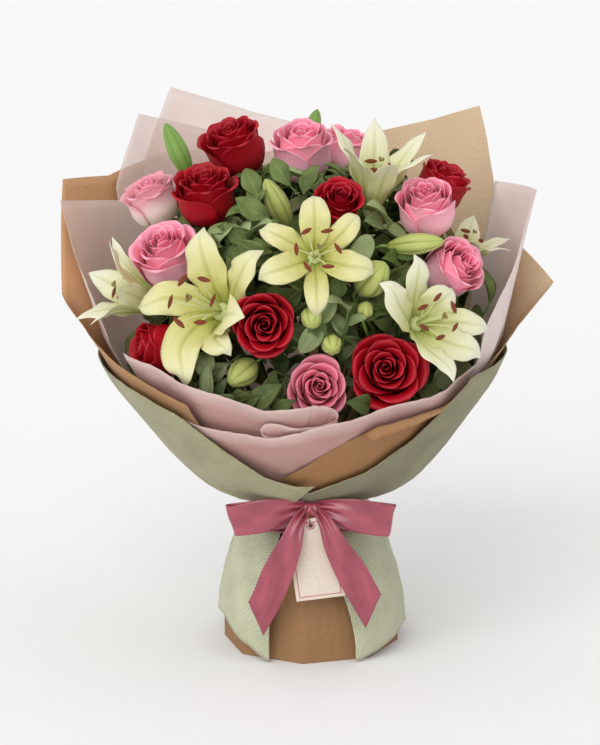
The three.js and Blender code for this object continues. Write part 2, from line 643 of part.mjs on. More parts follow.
// The ribbon that runs from the knot back to the neck.
const armRows = [[1, -88, 147, 12, 0], [22, -80, 142, 18, 0], [40, -63, 137, 22, 0], [54, -44, 134, 22, 0]];
const bowPart = (rows, side) => (
  ribbonStrip(rows.map(([x, y, z, width, lean]) => [vec(side * x, y, z), width, side * lean]))
);

function bow() {
  const knot = new THREE.SphereGeometry(1, 7, 5).scale(11, 8.5, 8).translate(0, -94, 147);
  const strips = [-1, 1].flatMap((side) => [
    bowPart(loopRows, side), bowPart(side < 0 ? leftTailRows : rightTailRows, side), bowPart(armRows, side),
  ]);
  return joined([solidOf(knot), ...strips]);
}

// The ribbon round the neck, which the bow is tied on.
function neckBand() {
  const radius = (height) => along(skirtProfile, height) + 2;
  const { bandTop, bandBottom, thickness } = ribbon;
  const section = [
    [radius(bandBottom), bandBottom], [radius(bandBottom) + thickness, bandBottom],
    [radius(bandTop) + thickness, bandTop], [radius(bandTop), bandTop], [radius(bandBottom), bandBottom],
  ];
  const profile = section.map(([r, z]) => new THREE.Vector2(r, z));
  return solidOf(new THREE.LatheGeometry(profile, 18).rotateX(Math.PI / 2));
}

// The hang tag: a card with cut shoulders and a punched hole, leaning on the skirt.
const tagPose = new THREE.Matrix4().compose(
  vec(9, -101, 70),
  new THREE.Quaternion().setFromEuler(new THREE.Euler(94 * deg, 0, 7.6 * deg)),
  vec(1, 1, 1),
);
function hangTag() {
  const { width, height, shoulder } = tag;
  const card = new THREE.Shape();
  card.moveTo(-width / 2, 0);
  card.lineTo(width / 2, 0);
  card.lineTo(width / 2, height - shoulder);
  card.lineTo(width / 2 - shoulder, height);
  card.lineTo(shoulder - width / 2, height);
  card.lineTo(-width / 2, height - shoulder);
  card.closePath();
  card.holes.push(new THREE.Path().absarc(0, height - tag.holeDrop, tag.hole, 0, 2 * Math.PI, true));
  const options = { depth: tag.thickness, bevelEnabled: false, curveSegments: 4 };
  return moved(new THREE.ExtrudeGeometry(card, options), tagPose);
}

// The string that holds the tag: from under the knot over the card, through its hole and back up behind it.
function tagString() {
  const onTag = (x, drop, out) => vec(x, tag.height - drop, out).applyMatrix4(tagPose);
  const path = [
    vec(-3.6, -104, 153.5), onTag(-0.8, -2.6, 1.6), onTag(-0.5, 3, 2.8), onTag(0, tag.holeDrop, 2),
    onTag(0, tag.holeDrop, -1.2), vec(-1.5, -102.4, 144), vec(-0.5, -101.4, 142),
  ];
  return solidOf(rod(path, 0.6, 4, 12));
}

// ---- the bouquet ----
add("kraft_foot", kraftFoot(), materials.kraft);
add("jute_wrap", clothWrap(), materials.jute);
sheets.forEach((sheet) => {
  add(sheet.name, sheetSolid(sheet), sheet.name.startsWith("kraft") ? materials.kraft : materials.tissue);
});
add("binding_twine", twineRing(), materials.string);
add("ribbon_band", neckBand(), materials.ribbon);
add("ribbon_bow", bow(), materials.ribbon);
add("hang_tag", hangTag(), materials.card);
add("tag_string", tagString(), materials.string);

const stalks = []; // what every stem starts from
roses.forEach((rose) => {
  const axis = vec(...rose.face).normalize();
  const base = vec(...rose.at).addScaledVector(axis, -roseHeight * rose.size * 0.5);
  const matrix = poseOf(base.toArray(), rose.face, rose.spin);
  add(rose.name, moved(roseHead(rose), matrix), rose.red ? materials.redPetal : materials.pinkPetal);
  const start = base.clone().addScaledVector(axis, -7 * rose.size);
  stalks.push({
    name: rose.name, start, back: axis.negate(), radius: stems.roseRadius,
    cup: () => [roseCup(rose, matrix)], leaves: rose.red ? 2 : 1, lily: false,
  });
});
lilies.forEach((lily) => {
  const axis = vec(...lily.face).normalize();
  add(lily.name, lilyBloom(lily, poseOf(lily.at, lily.face)), materials.lilyPetal);
  const start = vec(...lily.at).addScaledVector(axis, -1.4 * lily.size);
  stalks.push({
    name: lily.name, start, back: axis.negate(), radius: stems.lilyRadius,
    cup: () => [], leaves: 0, lily: true,
  });
});
const places = tiePlaces([
  ...stalks.map((stalk) => stalk.start),
  ...sprays.map((spray) => vec(...spray.tip)),
]);

stalks.forEach((stalk, i) => {
  let line;
  const stem = firstClear(stemBends.map((bend) => () => {
    line = stemLine(stalk.start, stalk.back, places[i], bend);
    return solidOf(rod(line, stalk.radius, stems.sides, stems.steps));
  }));
  const pieces = [stem, ...stalk.cup()];
  buds.filter((bud) => bud.on === stalk.name).forEach((bud) => {
    const base = vec(...bud.at);
    const into = vec(...bud.face).normalize();
    const [inside, below] = [3, -9].map((reach) => base.clone().addScaledVector(into, reach));
    const stalklets = [0.3, 0.5, 0.1, 0.7, 0].map((share) => () => (
      solidOf(rod([inside, below, line[1].clone().lerp(line[2], share)], stems.stalkRadius, stems.sides, 2))
    ));
    pieces.push(budSolid(bud), firstClear(stalklets));
  });
  const path = new THREE.CatmullRomCurve3(line, false, "centripetal");
  const leafing = { ...roseLeaf, leaves: stalk.leaves, turn: i * roseLeaf.turn };
  pieces.push(...leavesAlong(path, leafing, roseLeaf.from, roseLeaf.to));
  add(stalk.name + "_stem", joined(pieces), stalk.lily ? materials.lilyStem : materials.stem);
});

sprays.forEach((spray, i) => {
  const tip = vec(...spray.tip);
  let line;
  const twig = firstClear(stemBends.map((bend) => () => {
    const back = vec(-tip.x, -tip.y, -sprayLeaf.drop).normalize();
    line = stemLine(tip, back, places[stalks.length + i], bend);
    return solidOf(rod(line, stems.twigRadius, stems.sides, stems.steps));
  }));
  const path = new THREE.CatmullRomCurve3(line, false, "centripetal");
  add(spray.name, joined([twig, ...leavesAlong(path, spray, sprayLeaf.from, sprayLeaf.to)]), materials.leaf);
});

export default bouquet;
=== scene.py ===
# A hand-tied bouquet of roses, lilies and greens in paper, tissue and woven cloth, tied with a satin bow.
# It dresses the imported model: each finished piece stands where its solid does. The front is towards -Y.
import math

import bmesh
import bpy
import numpy as np
from mathutils import Matrix, Vector
from mathutils.bvhtree import BVHTree


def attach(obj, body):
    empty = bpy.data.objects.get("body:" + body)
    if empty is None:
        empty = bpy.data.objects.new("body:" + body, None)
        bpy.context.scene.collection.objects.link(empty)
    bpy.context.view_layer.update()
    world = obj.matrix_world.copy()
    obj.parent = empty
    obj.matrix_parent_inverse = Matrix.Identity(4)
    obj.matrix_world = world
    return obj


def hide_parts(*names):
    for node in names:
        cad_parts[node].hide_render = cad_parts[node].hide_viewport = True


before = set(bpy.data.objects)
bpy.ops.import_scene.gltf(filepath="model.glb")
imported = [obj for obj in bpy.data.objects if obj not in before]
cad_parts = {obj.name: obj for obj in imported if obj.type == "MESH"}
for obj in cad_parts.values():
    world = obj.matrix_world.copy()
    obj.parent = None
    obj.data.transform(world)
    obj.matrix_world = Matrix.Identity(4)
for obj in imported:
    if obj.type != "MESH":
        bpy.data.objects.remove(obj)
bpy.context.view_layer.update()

mm = 0.001
degree = math.pi / 180

view = {"aim": (-0.0106, 0, 0.265), "distance": 2.5, "elevation": 12, "frameHeight": 0.7152, "sensor": 36}
light = {
    "backdrop": (0.98, 0.98, 0.98), "world": 0.79, "sun": 1.36, "sunFrom": (-0.7, -1.7, 1.5),
    "sunAt": (0, 0, 0.28), "softness": 50, "floor": (0.935, 0.935, 0.935), "floorReach": 60,
}


def addObject(name, data):
    added = bpy.data.objects.new(name, data)
    bpy.context.collection.objects.link(added)
    return added


def pointAt(holder, place, aim):
    holder.location = place
    holder.rotation_euler = (Vector(aim) - holder.location).to_track_quat("-Z", "Y").to_euler()


def placeCamera():
    camera = bpy.data.cameras.new("camera")
    camera.sensor_width = view["sensor"]
    camera.lens = view["sensor"] * view["distance"] / view["frameHeight"]
    holder = addObject("camera", camera)
    rise = view["elevation"] * degree
    back = view["distance"] * Vector((0, -math.cos(rise), math.sin(rise)))
    pointAt(holder, Vector(view["aim"]) + back, view["aim"])
    bpy.context.scene.camera = holder


def placeLights():
    # One broad soft light from the upper left; the plain world fills the shade.
    lamp = bpy.data.lights.new("softKey", "SUN")
    lamp.energy, lamp.angle = light["sun"], light["softness"] * degree
    pointAt(addObject("softKey", lamp), light["sunFrom"], light["sunAt"])
    world = bpy.data.worlds.new("studio")
    bpy.context.scene.world = world
    world.use_nodes = True
    backdrop = world.node_tree.nodes["Background"].inputs
    backdrop["Color"].default_value = (*light["backdrop"], 1)
    backdrop["Strength"].default_value = light["world"]
    bpy.context.scene.view_settings.view_transform = "Standard"


placeCamera()
placeLights()
print("camera and lights are placed")


def addNode(tree, kind, inputs=None, **settings):
    # An input is a constant, a socket or a wire.
    node = tree.nodes.new(kind)
    for key, value in settings.items():
        setattr(node, key, value)
    for key, value in (inputs or {}).items():
        value = getattr(value, "socket", value)
        if isinstance(value, bpy.types.NodeSocket):
            tree.links.new(value, node.inputs[key])
        else:
            node.inputs[key].default_value = value
    return node


def colour(code):
    # A colour written as a web code, made linear.
    parts = [int(code[i:i + 2], 16) / 255 for i in (1, 3, 5)]
    return (*[p / 12.92 if p <= 0.04045 else ((p + 0.055) / 1.055) ** 2.4 for p in parts], 1)


def doMath(operation, first, second=0.0):
    tree = (first if isinstance(first, Wire) else second).tree
    node = addNode(tree, "ShaderNodeMath", {0: first, 1: second}, operation=operation)
    return Wire(tree, node.outputs[0])


class Wire:
    # A value in a material's tree. Sums, products and powers of wires are math nodes.
    def __init__(self, tree, socket):
        self.tree = tree
        self.socket = socket

    def limited(self):
        # Held between 0 and 1.
        self.socket.node.use_clamp = True
        return self

    def __add__(self, other):
        return doMath("ADD", self, other)

    def __sub__(self, other):
        return doMath("SUBTRACT", self, other)

    def __rsub__(self, other):
        return doMath("SUBTRACT", other, self)

    def __mul__(self, other):
        return doMath("MULTIPLY", self, other)

    def __pow__(self, power):
        return doMath("POWER", self, power)

    def __abs__(self):
        return doMath("ABSOLUTE", self)


class Paint:
    # A material in the making. Its patterns lie on the object or on the piece's own maps.
    def __init__(self, name, roughness, sockets=None):
        self.material = bpy.data.materials.new(name)
        self.material.use_nodes = True
        self.tree = self.material.node_tree
        self.shader = self.tree.nodes["Principled BSDF"]
        for key, value in {"Roughness": roughness, **(sockets or {})}.items():
            self.shader.inputs[key].default_value = value

    def add(self, kind, inputs=None, output=0, **settings):
        return Wire(self.tree, addNode(self.tree, kind, inputs, **settings).outputs[output])

    def split(self, value, kind="XYZ"):
        node = addNode(self.tree, "ShaderNodeSeparate" + kind, {0: value})
        return [Wire(self.tree, output) for output in node.outputs]

    def place(self):
        return self.add("ShaderNodeTexCoord", output="Object")

    def height(self):
        return self.split(self.place())[2]

    def uv(self):
        return self.add("ShaderNodeUVMap", uv_map="flat")

    def detail(self):
        # The piece's record: how far out along the blade, how far from its middle, its layer, and its lot.
        known = addNode(self.tree, "ShaderNodeAttribute", attribute_name="detail").outputs
        return *self.split(known["Color"], "Color"), Wire(self.tree, known["Alpha"])

    def stretched(self, vector, scale, turn=0.0):
        inputs = {"Vector": vector, "Scale": scale, "Rotation": (0, 0, turn)}
        return self.add("ShaderNodeMapping", inputs)

    def noise(self, vector, scale, detail=3.0, roughness=0.5):
        inputs = {"Vector": vector, "Scale": scale, "Detail": detail, "Roughness": roughness}
        return self.add("ShaderNodeTexNoise", inputs, "Fac")

    def ramp(self, factor, *stops):
        node = addNode(self.tree, "ShaderNodeValToRGB", {"Fac": factor})
        elements = node.color_ramp.elements
        while len(elements) < len(stops):
            elements.new(0.5)
        for element, (place, code) in zip(elements, stops):
            element.position = place
            element.color = colour(code)
        return Wire(self.tree, node.outputs["Color"])

    def mix(self, factor, first, second):
        # The second colour is a wire or a web code.
        second = colour(second) if isinstance(second, str) else second
        return self.add("ShaderNodeMix", {0: factor, 6: first, 7: second}, 2, data_type="RGBA")

    def brightened(self, tone, value):
        return self.add("ShaderNodeHueSaturation", {"Color": tone, "Value": value})

    def done(self, tone, height, distance, strength):
        # The tone and the relief go to the shader.
        relief = {"Height": height, "Distance": distance, "Strength": strength}
        bump = self.add("ShaderNodeBump", relief, "Normal")
        self.tree.links.new(tone.socket, self.shader.inputs["Base Color"])
        self.tree.links.new(bump.socket, self.shader.inputs["Normal"])
        return self.material


def petalMaterial(name, along, heart, veinCode, rimHighlight, paleness=0.0):
    # along: colours from a petal's root to its rim; heart: the colour that the inner layers take on; the rim
    # colour is a painted highlight along the rim
    paint = Paint(name, 0.5, {
        "Specular IOR Level": 0.35, "Subsurface Weight": 0.12, "Subsurface Scale": 0.004,
        "Subsurface Radius": (1, 0.45, 0.35), "Sheen Weight": paleness,
    })
    out, _, layer, lot = paint.detail()
    blotch = paint.noise(paint.place(), 70, 4)
    veins = paint.noise(paint.stretched(paint.uv(), (1900, 90, 1)), 1, 3)
    # Painted highlight: the rim is mixed towards a paler colour, for the sheen on its rolled edge.
    rim = ((out - 0.95) * 20).limited()
    tone = paint.mix((layer * 0.95).limited(), paint.ramp(out, *along), heart)
    tone = paint.mix(blotch * 0.3, tone, veinCode)
    tone = paint.mix(veins * 0.2, tone, veinCode)
    tone = paint.mix(rim * 0.3, tone, rimHighlight)
    tone = paint.brightened(tone, lot * 0.35 + (0.8 + paleness))
    return paint.done(tone, veins + blotch * 1.4, 0.0004, 0.5)


def lilyMaterial(name, along, spots=False):
    # along: the colours from a petal's throat to its tip; the midrib and the veins take the throat's
    paint = Paint(name, 0.42, {
        "Subsurface Weight": 0.2, "Subsurface Scale": 0.006, "Subsurface Radius": (1, 0.9, 0.4),
        "Sheen Weight": 0.15,
    })
    out, side, _, _ = paint.detail()
    rib = (1 - side * 5).limited() * (1.15 - out).limited()
    veins = paint.noise(paint.stretched(paint.uv(), (900, 30, 1)), 1, 2)
    tone = paint.ramp(out, *zip((0.0, 0.25, 0.6, 1.0), along))
    tone = paint.mix(rib * 0.75, tone, along[0])
    tone = paint.mix(veins * 0.3, tone, along[0])
    if spots:
        cells = paint.add("ShaderNodeTexVoronoi", {"Vector": paint.uv(), "Scale": 260}, "Distance")
        near = doMath("LESS_THAN", abs(out - 0.27), 0.11)
        tone = paint.mix(doMath("LESS_THAN", cells, 0.15) * (near * 0.75), tone, "#7a3a1c")
    return paint.done(tone, veins + rib * -0.8, 0.0009, 0.6)


def leafMaterial(name, dark, pale, rib, roughness, veinBump=0.0005):
    # Ribs that run out from the middle one. A leaf low in the bouquet is painted darker, painted shade among
    # the blooms, and one high up painted lighter, where the light falls.
    paint = Paint(name, roughness, {"Specular IOR Level": 0.3})
    side = paint.detail()[1]
    mottle = paint.noise(paint.place(), 60, 4)
    across, along, _ = paint.split(paint.uv())
    ribs = abs(doMath("SINE", (along - abs(across)) * 52)) ** 9
    vein = doMath("MAXIMUM", ribs * 0.45, (1 - side * 11).limited())
    tone = paint.mix(vein * 0.55, paint.ramp(mottle, (0.3, dark), (0.7, pale)), rib)
    # Painted shade and light: darker low down, lighter high up.
    high = ((paint.height() - 0.29) * 8).limited()
    return paint.done(paint.brightened(tone, high * 0.48 + 0.76), vein * -1, veinBump, 0.6)


def stemMaterial(name, dark, pale):
    paint = Paint(name, 0.45)
    streaks = paint.noise(paint.stretched(paint.place(), (500, 500, 25)), 1, 3)
    return paint.done(paint.ramp(streaks, (0.3, dark), (0.7, pale)), streaks, 0.0006, 0.5)


def plainMaterial(name, dark, pale, roughness, scale=300, depth=0.0003):
    paint = Paint(name, roughness)
    grain = paint.noise(paint.place(), scale, 4)
    return paint.done(paint.ramp(grain, (0.3, dark), (0.7, pale)), grain, depth, 0.6)


def kraftMaterial(name, lowDark, lowPale, dark, pale):
    # Brown paper with fibres and flecks. Its low tones are painted shade, deeper in colour low down, and its
    # high tones painted light, paler high up.
    paint = Paint(name, 0.78)
    place = paint.place()
    cloud = paint.noise(place, 9, 3)
    fibre = paint.noise(paint.stretched(paint.uv(), (260, 1500, 1), 0.2), 1, 4, 0.65)
    flecks = doMath("GREATER_THAN", paint.noise(place, 620, 2), 0.68)
    # Painted shade and light: the low tones below, the high tones above.
    high = ((paint.height() - 0.24) * 9).limited()
    tone = paint.mix(high, paint.ramp(fibre, (0.32, lowDark), (0.68, lowPale)),
                     paint.ramp(fibre, (0.32, dark), (0.68, pale)))
    tone = paint.mix(cloud * 0.22, tone, lowPale)
    tone = paint.mix(flecks * 0.25, tone, "#6f4c2c")
    return paint.done(tone, cloud * 2 + fibre, 0.0004, 0.35)


def tissueMaterial(name, dark, pale, alpha):
    # Thin paper with soft fibres; its cut edge is painted paler, a painted highlight along the rim.
    paint = Paint(name, 0.62, {
        "Alpha": alpha, "Sheen Weight": 0.25, "Subsurface Weight": 0.15, "Subsurface Scale": 0.002,
    })
    fibre = paint.noise(paint.stretched(paint.uv(), (900, 2100, 1), 0.5), 1, 5, 0.7)
    cloud = paint.noise(paint.place(), 26, 3)
    # Painted highlight: the top edge is mixed towards a pale colour.
    edge = ((paint.detail()[0] - 0.88) * 8).limited()
    tone = paint.ramp(fibre * 0.6 + cloud * 0.4, (0.34, dark), (0.66, pale))
    return paint.done(paint.mix(edge * 0.5, tone, "#f4e4de"), fibre, 0.0003, 0.5)


weave = {"threads": 620, "turn": 45 * degree}  # threads to a metre, and the way they lie


def juteMaterial(name, dark, pale, lowDark, lowPale):
    # A plain weave laid on the slant. Below the tie the cloth takes a paler copy of its tones, painted light
    # for the flared skirt that faces the light.
    paint = Paint(name, 0.9, {"Sheen Weight": 0.25})
    laid = paint.stretched(paint.uv(), (weave["threads"], weave["threads"], 1), weave["turn"])
    x, y, _ = paint.split(laid)
    warp, weft = (abs(doMath("SINE", axis * math.pi)) for axis in (x, y))
    over = abs(doMath("MODULO", doMath("FLOOR", x) + doMath("FLOOR", y), 2))
    threads = warp * over + weft * (1 - over)
    slub = paint.noise(paint.stretched(laid, (0.06, 0.9, 1)), 1, 2)
    mottle = slub * 0.35 + paint.noise(paint.place(), 30, 3) * 0.65
    # Painted light: the paler tones below the tie.
    low = 1 - ((paint.height() - 0.12) * 30).limited()
    tone = paint.mix(low, paint.ramp(mottle, (0.38, dark), (0.62, pale)),
                     paint.ramp(mottle, (0.38, lowDark), (0.62, lowPale)))
    tone = paint.mix((1 - threads).limited() * 0.85, tone, "#6f6c4a")
    return paint.done(tone, threads + slub * 0.7, 0.0006, 0.8)


def satinMaterial(name, dark, pale):
    # The lengthwise streaks of darker and paler rose are painted sheen and fold shade; the fine threads are
    # relief only.
    paint = Paint(name, 0.3, {"Sheen Weight": 0.3, "Sheen Roughness": 0.3, "Specular IOR Level": 0.9})
    threads = paint.noise(paint.stretched(paint.uv(), (60, 3200, 1)), 1, 2)
    cloud = paint.noise(paint.stretched(paint.uv(), (22, 60, 1)), 1, 2)
    return paint.done(paint.ramp(cloud, (0.3, dark), (0.7, pale)), threads, 0.00015, 0.5)


finishes = {
    # The red's near-black root colour is painted shade deep in the cup.
    "red": petalMaterial(
        "velvetRed", [(0.0, "#4a020c"), (0.4, "#980414"), (0.8, "#cb0a20"), (1.0, "#c60c22")],
        "#a80318", "#6e000c", "#c82a3e"),
    "pink": petalMaterial(
        "softPink", [(0.0, "#efe9c8"), (0.3, "#fdd9cf"), (0.7, "#ffbccb"), (1.0, "#fba4ba")],
        "#e23f78", "#f598ae", "#fbd0d9", 0.1),
    "rosy": petalMaterial(
        "deepPink", [(0.0, "#cfb49c"), (0.4, "#d0727e"), (0.85, "#d67486"), (1.0, "#e08a98")],
        "#e22a5c", "#c25468", "#eaacb6", 0.1),
    "blush": petalMaterial(
        "blushPink", [(0.0, "#f0eecc"), (0.5, "#fdf4da"), (0.8, "#fbd8d8"), (1.0, "#f298ad")],
        "#ee86a4", "#f6bec6", "#f29cb0", 0.1),
    "lily": lilyMaterial("lilyCream", ["#9aa235", "#d6cf76", "#eae2a0", "#f4efc6"], True),
    "lilyPale": lilyMaterial("lilyIvory", ["#a2ad4e", "#d6d68e", "#ebe7bc", "#f5f2dc"]),
    "filament": plainMaterial("filamentGreen", "#c9cf8a", "#dfe2ab", 0.45),
    "anther": plainMaterial("antherRust", "#5c2410", "#8e441f", 0.85, 900, 0.0006),
    "stigma": plainMaterial("stigmaBrown", "#6d5a2a", "#9a8a4a", 0.6),
    "bud": lilyMaterial("budYellowGreen", ["#54741c", "#a9b653", "#c9cc76", "#aab858"]),
    "budGreen": lilyMaterial("budFreshGreen", ["#4a7326", "#6f9a3c", "#86ab4c", "#668f38"]),
    "stem": stemMaterial("roseStemGreen", "#3f5a26", "#6a8540"),
    "lilyStem": stemMaterial("lilyStemGreen", "#6f8f3c", "#93ab57"),
    "roseLeaf": leafMaterial("roseLeafGreen", "#36461b", "#5b6d30", "#86925a", 0.5),
    "gumLeaf": leafMaterial("gumLeafGrey", "#74824e", "#98a374", "#adb58e", 0.55, 0.0003),
    "darkLeaf": leafMaterial("darkLeafGreen", "#435326", "#697840", "#8a945c", 0.5),
    # Kraft: painted shade low down and painted light high up; the second kraft is a paler lit copy for the
    # sheet on the right.
    "kraft": kraftMaterial("kraftBrown", "#87623f", "#a07850", "#b8885f", "#d4a67a"),
    "kraftPaintedLit": kraftMaterial("kraftPaintedLit", "#8c623c", "#a3784e", "#d0b28c", "#e5cfb0"),
    "tissue": tissueMaterial("tissueRose", "#b58279", "#cd9f96", 0.86),
    "tissueBlush": tissueMaterial("tissueBlushRose", "#e6ccc5", "#f8e7e0", 0.78),
    "tissueGrey": tissueMaterial("tissueGreyRose", "#f0d0c4", "#fde8df", 0.5),
    "jute": juteMaterial("juteSage", "#a8a27a", "#c0ba92", "#cfd2ae", "#e8e9ca"),
    "satin": satinMaterial("satinRose", "#882f41", "#b0485d"),
    "card": plainMaterial("cardCream", "#d6c6b5", "#e3d6c6", 0.7, 500, 0.0002),
    "cardLine": plainMaterial("cardLine", "#b4566f", "#bc6077", 0.6),
    "string": plainMaterial("stringBrown", "#7b5a38", "#a17c52", 0.85, 900, 0.0004),
    "twine": plainMaterial("twineGreen", "#54703c", "#6f8a52", 0.7, 700, 0.0004),
}
print("materials are ready:", len(finishes))


def unit(vectors):
    return vectors / np.maximum(np.linalg.norm(vectors, axis=-1, keepdims=True), 1e-12)


def rotation(angle, axis):
    return np.array(Matrix.Rotation(angle, 3, axis))


def roundAngles(count):
    return np.linspace(0, 2 * np.pi, count, endpoint=False)


def chanceFor(name):
    # Random draws that are always the same for a name.
    return np.random.default_rng(sum(map(ord, name)))


def gridShares(rows, columns):
    # Along a blade from 0 to 1 as a column, and across it from -1 to 1 as a row.
    return np.linspace(0, 1, rows)[:, None], np.linspace(-1, 1, columns)[None, :]


def smoothLine(points, count, mirrorEnds=True):
    # A smooth line through the points, with count points on it; the points may have any number of columns.
    points = np.asarray(points, float)
    before, after = points[0], points[-1]
    if mirrorEnds:
        before, after = 2 * points[0] - points[1], 2 * points[-1] - points[-2]
    padded = np.vstack([before, points, after])
    t = np.linspace(0, len(points) - 1, count)
    i = np.minimum(t.astype(int), len(points) - 2)
    f = (t - i)[:, None]
    p0, p1, p2, p3 = (padded[i + k] for k in range(4))
    return 0.5 * (2 * p1 + (p2 - p0) * f + (2 * p0 - 5 * p1 + 4 * p2 - p3) * f ** 2
                  + (3 * p1 - p0 - 3 * p2 + p3) * f ** 3)


def runAlong(line):
    # The length of the line up to each of its points, over its first three columns.
    return np.concatenate([[0], np.cumsum(np.linalg.norm(np.diff(line[:, :3], axis=0), axis=1))])


def sampled(at, run, line):
    return np.stack([np.interp(at, run, column) for column in line.T], -1)


def evenly(line, count):
    # The same line with its points evenly spaced.
    run = runAlong(line)
    return sampled(np.linspace(0, run[-1], count), run, line)


def gridNormals(grid):
    return unit(np.cross(np.gradient(grid, axis=1), np.gradient(grid, axis=0)))


def flatUv(grid):
    # Lengths over the grid: across on one axis and along on the other.
    across, along = np.zeros((2, *grid.shape[:2]))
    across[:, 1:] = np.linalg.norm(np.diff(grid, axis=1), axis=2)
    along[1:] = np.linalg.norm(np.diff(grid, axis=0), axis=2)
    return np.stack([np.cumsum(across, 1), np.cumsum(along, 0)], -1)


def plainDetail(rows, columns, layer=0.0, lot=0.5):
    out, side = np.meshgrid(np.linspace(0, 1, rows), np.abs(np.linspace(-1, 1, columns)), indexing="ij")
    return np.stack([out, side, np.full_like(out, layer), np.full_like(out, lot)], -1)


class Batch:
    # Many small forms on their way to one mesh, with a uv, a detail and a finish of their own.
    def __init__(self):
        self.parts = []
        self.count = 0

    def add(self, points, faces, uv, detail, finish=0):
        faces = np.asarray(faces)
        self.parts.append((points, faces + self.count, uv, detail, np.full(len(faces), finish)))
        self.count += len(points)

    def addShell(self, grid, thickness, uv=None, detail=None, finish=0):
        # A thin closed blade round a grid of points: two skins and the edge between them.
        rows, columns = grid.shape[:2]
        half = np.broadcast_to(np.asarray(thickness, float), (rows, columns))[..., None] / 2
        lift = gridNormals(grid) * half
        points = np.concatenate([(grid + lift).reshape(-1, 3), (grid - lift).reshape(-1, 3)])
        index = np.arange(rows * columns).reshape(rows, columns)
        corners = (index[:-1, :-1], index[:-1, 1:], index[1:, 1:], index[1:, :-1])
        faces = np.stack([corner.ravel() for corner in corners], 1)
        edge = np.concatenate([index[0, :], index[1:, -1], index[-1, -2::-1], index[-2:0:-1, 0]])
        following = np.roll(edge, -1)
        under = rows * columns
        faces = np.concatenate([
            faces, faces[:, ::-1] + under, np.stack([following, edge, edge + under, following + under], 1),
        ])
        uv = (flatUv(grid) if uv is None else uv).reshape(-1, 2)
        detail = (plainDetail(rows, columns) if detail is None else detail).reshape(-1, 4)
        self.add(points, faces, np.tile(uv, (2, 1)), np.tile(detail, (2, 1)), finish)

    def addSkin(self, grid, uv=None, detail=None, finish=0, ring=False):
        # A closed round skin: rows of points round an axis, the last column joined to the first. A ring's
        # last row is joined to its first as well; otherwise a middle point closes each end.
        rows, columns = grid.shape[:2]
        uv = np.zeros((rows * columns, 2)) if uv is None else uv.reshape(-1, 2)
        detail = (plainDetail(rows, columns) if detail is None else detail).reshape(-1, 4)
        index = np.arange(rows * columns).reshape(rows, columns)
        following = np.roll(index, -1, axis=1)
        faces = np.stack([index, following, np.roll(following, -1, axis=0), np.roll(index, -1, axis=0)], -1)
        faces = (faces if ring else faces[:-1]).reshape(-1, 4)
        points = grid.reshape(-1, 3)
        if not ring:
            ends = [0, index[-1, 0]]
            middles = [np.full(columns, rows * columns + k) for k in (0, 1)]
            points = np.vstack([points, grid[0].mean(axis=0), grid[-1].mean(axis=0)])
            uv, detail = np.vstack([uv, uv[ends]]), np.vstack([detail, detail[ends]])
            faces = np.concatenate([faces, np.stack([following[0], index[0], middles[0], middles[0]], 1),
                                    np.stack([index[-1], following[-1], middles[1], middles[1]], 1)])
        self.add(points, faces, uv, detail, finish)

    def makeMesh(self, name):
        points, faces, uv, detail, finish = (np.concatenate(values) for values in zip(*self.parts))
        faces = [[a, b, c] if c == d else [a, b, c, d] for a, b, c, d in faces.tolist()]
        mesh = bpy.data.meshes.new(name)
        mesh.from_pydata(points.tolist(), [], faces)
        mesh.shade_smooth()
        corners = np.zeros(len(mesh.loops), int)
        mesh.loops.foreach_get("vertex_index", corners)
        mesh.uv_layers.new(name="flat").data.foreach_set("uv", uv[corners].ravel())
        record = mesh.attributes.new("detail", "FLOAT_COLOR", "POINT")
        record.data.foreach_set("color", detail.ravel())
        return mesh, finish.astype(int)


def keepPiece(name, mesh, nodes):
    piece = addObject(name, mesh)
    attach(piece, "root")
    if nodes:
        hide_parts(*nodes)
    return piece


def finishPiece(name, batch, materials, nodes):
    # The batch as one plain object that rides with the bouquet and stands for its solids.
    mesh, finish = batch.makeMesh(name)
    for material in materials:
        mesh.materials.append(finishes[material])
    mesh.polygons.foreach_set("material_index", finish)
    mesh.update()
    return keepPiece(name, mesh, nodes)


def weldedNode(name):
    # A solid's points in millimetres and its edges, without doubles.
    copy = bmesh.new()
    copy.from_mesh(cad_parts[name].data)
    bmesh.ops.remove_doubles(copy, verts=copy.verts, dist=0.00003)
    copy.verts.index_update()
    points = np.array([v.co[:] for v in copy.verts]) / mm
    edges = np.array([[e.verts[0].index, e.verts[1].index] for e in copy.edges])
    copy.free()
    return points, edges


def islands(count, edges, kept):
    # Groups of kept points that hang together.
    group = np.arange(count)

    def root(i):
        while group[i] != i:
            group[i] = group[group[i]]
            i = group[i]
        return i

    for a, b in edges:
        if kept[a] and kept[b]:
            group[root(a)] = root(b)
    found = {}
    for i in np.flatnonzero(kept):
        found.setdefault(root(i), []).append(i)
    return list(found.values())


class Seat:
    # Where a bloom sits and faces, in millimetres. The bloom's own frame has +Z outwards.
    def __init__(self, at, face, size=1.0, spin=0.0):
        turn = Vector((0, 0, 1)).rotation_difference(Vector(face).normalized()).to_matrix()
        self.turn = np.array(turn) @ rotation(spin * degree, "Z")
        self.place = np.array(at, float)
        self.size = size

    def put(self, points):
        return (np.asarray(points) * self.size) @ self.turn.T + self.place

    def own(self, points):
        return ((points - self.place) @ self.turn) / self.size


def behind(at, face, distance):
    # The point that lies the distance behind another, and the way back from it.
    axis = unit(np.array(face, float))
    return np.array(at, float) - axis * distance, -axis


# Tracing a solid's stem and leaves: lengths in millimetres, the rings' sizes as shares of the stem's radius,
# and the leaves' as shares of their length.
tracing = {
    "longEdge": 28, "ringReach": 2.7, "ringFit": 0.35, "clearOfBloom": 26, "firstRun": 18, "points": 160,
    "tipAway": 0.42, "sameTip": 3, "otherTip": 4, "leafLean": 0.7, "leafReach": (0.5, 1.12), "leafFit": 4,
}


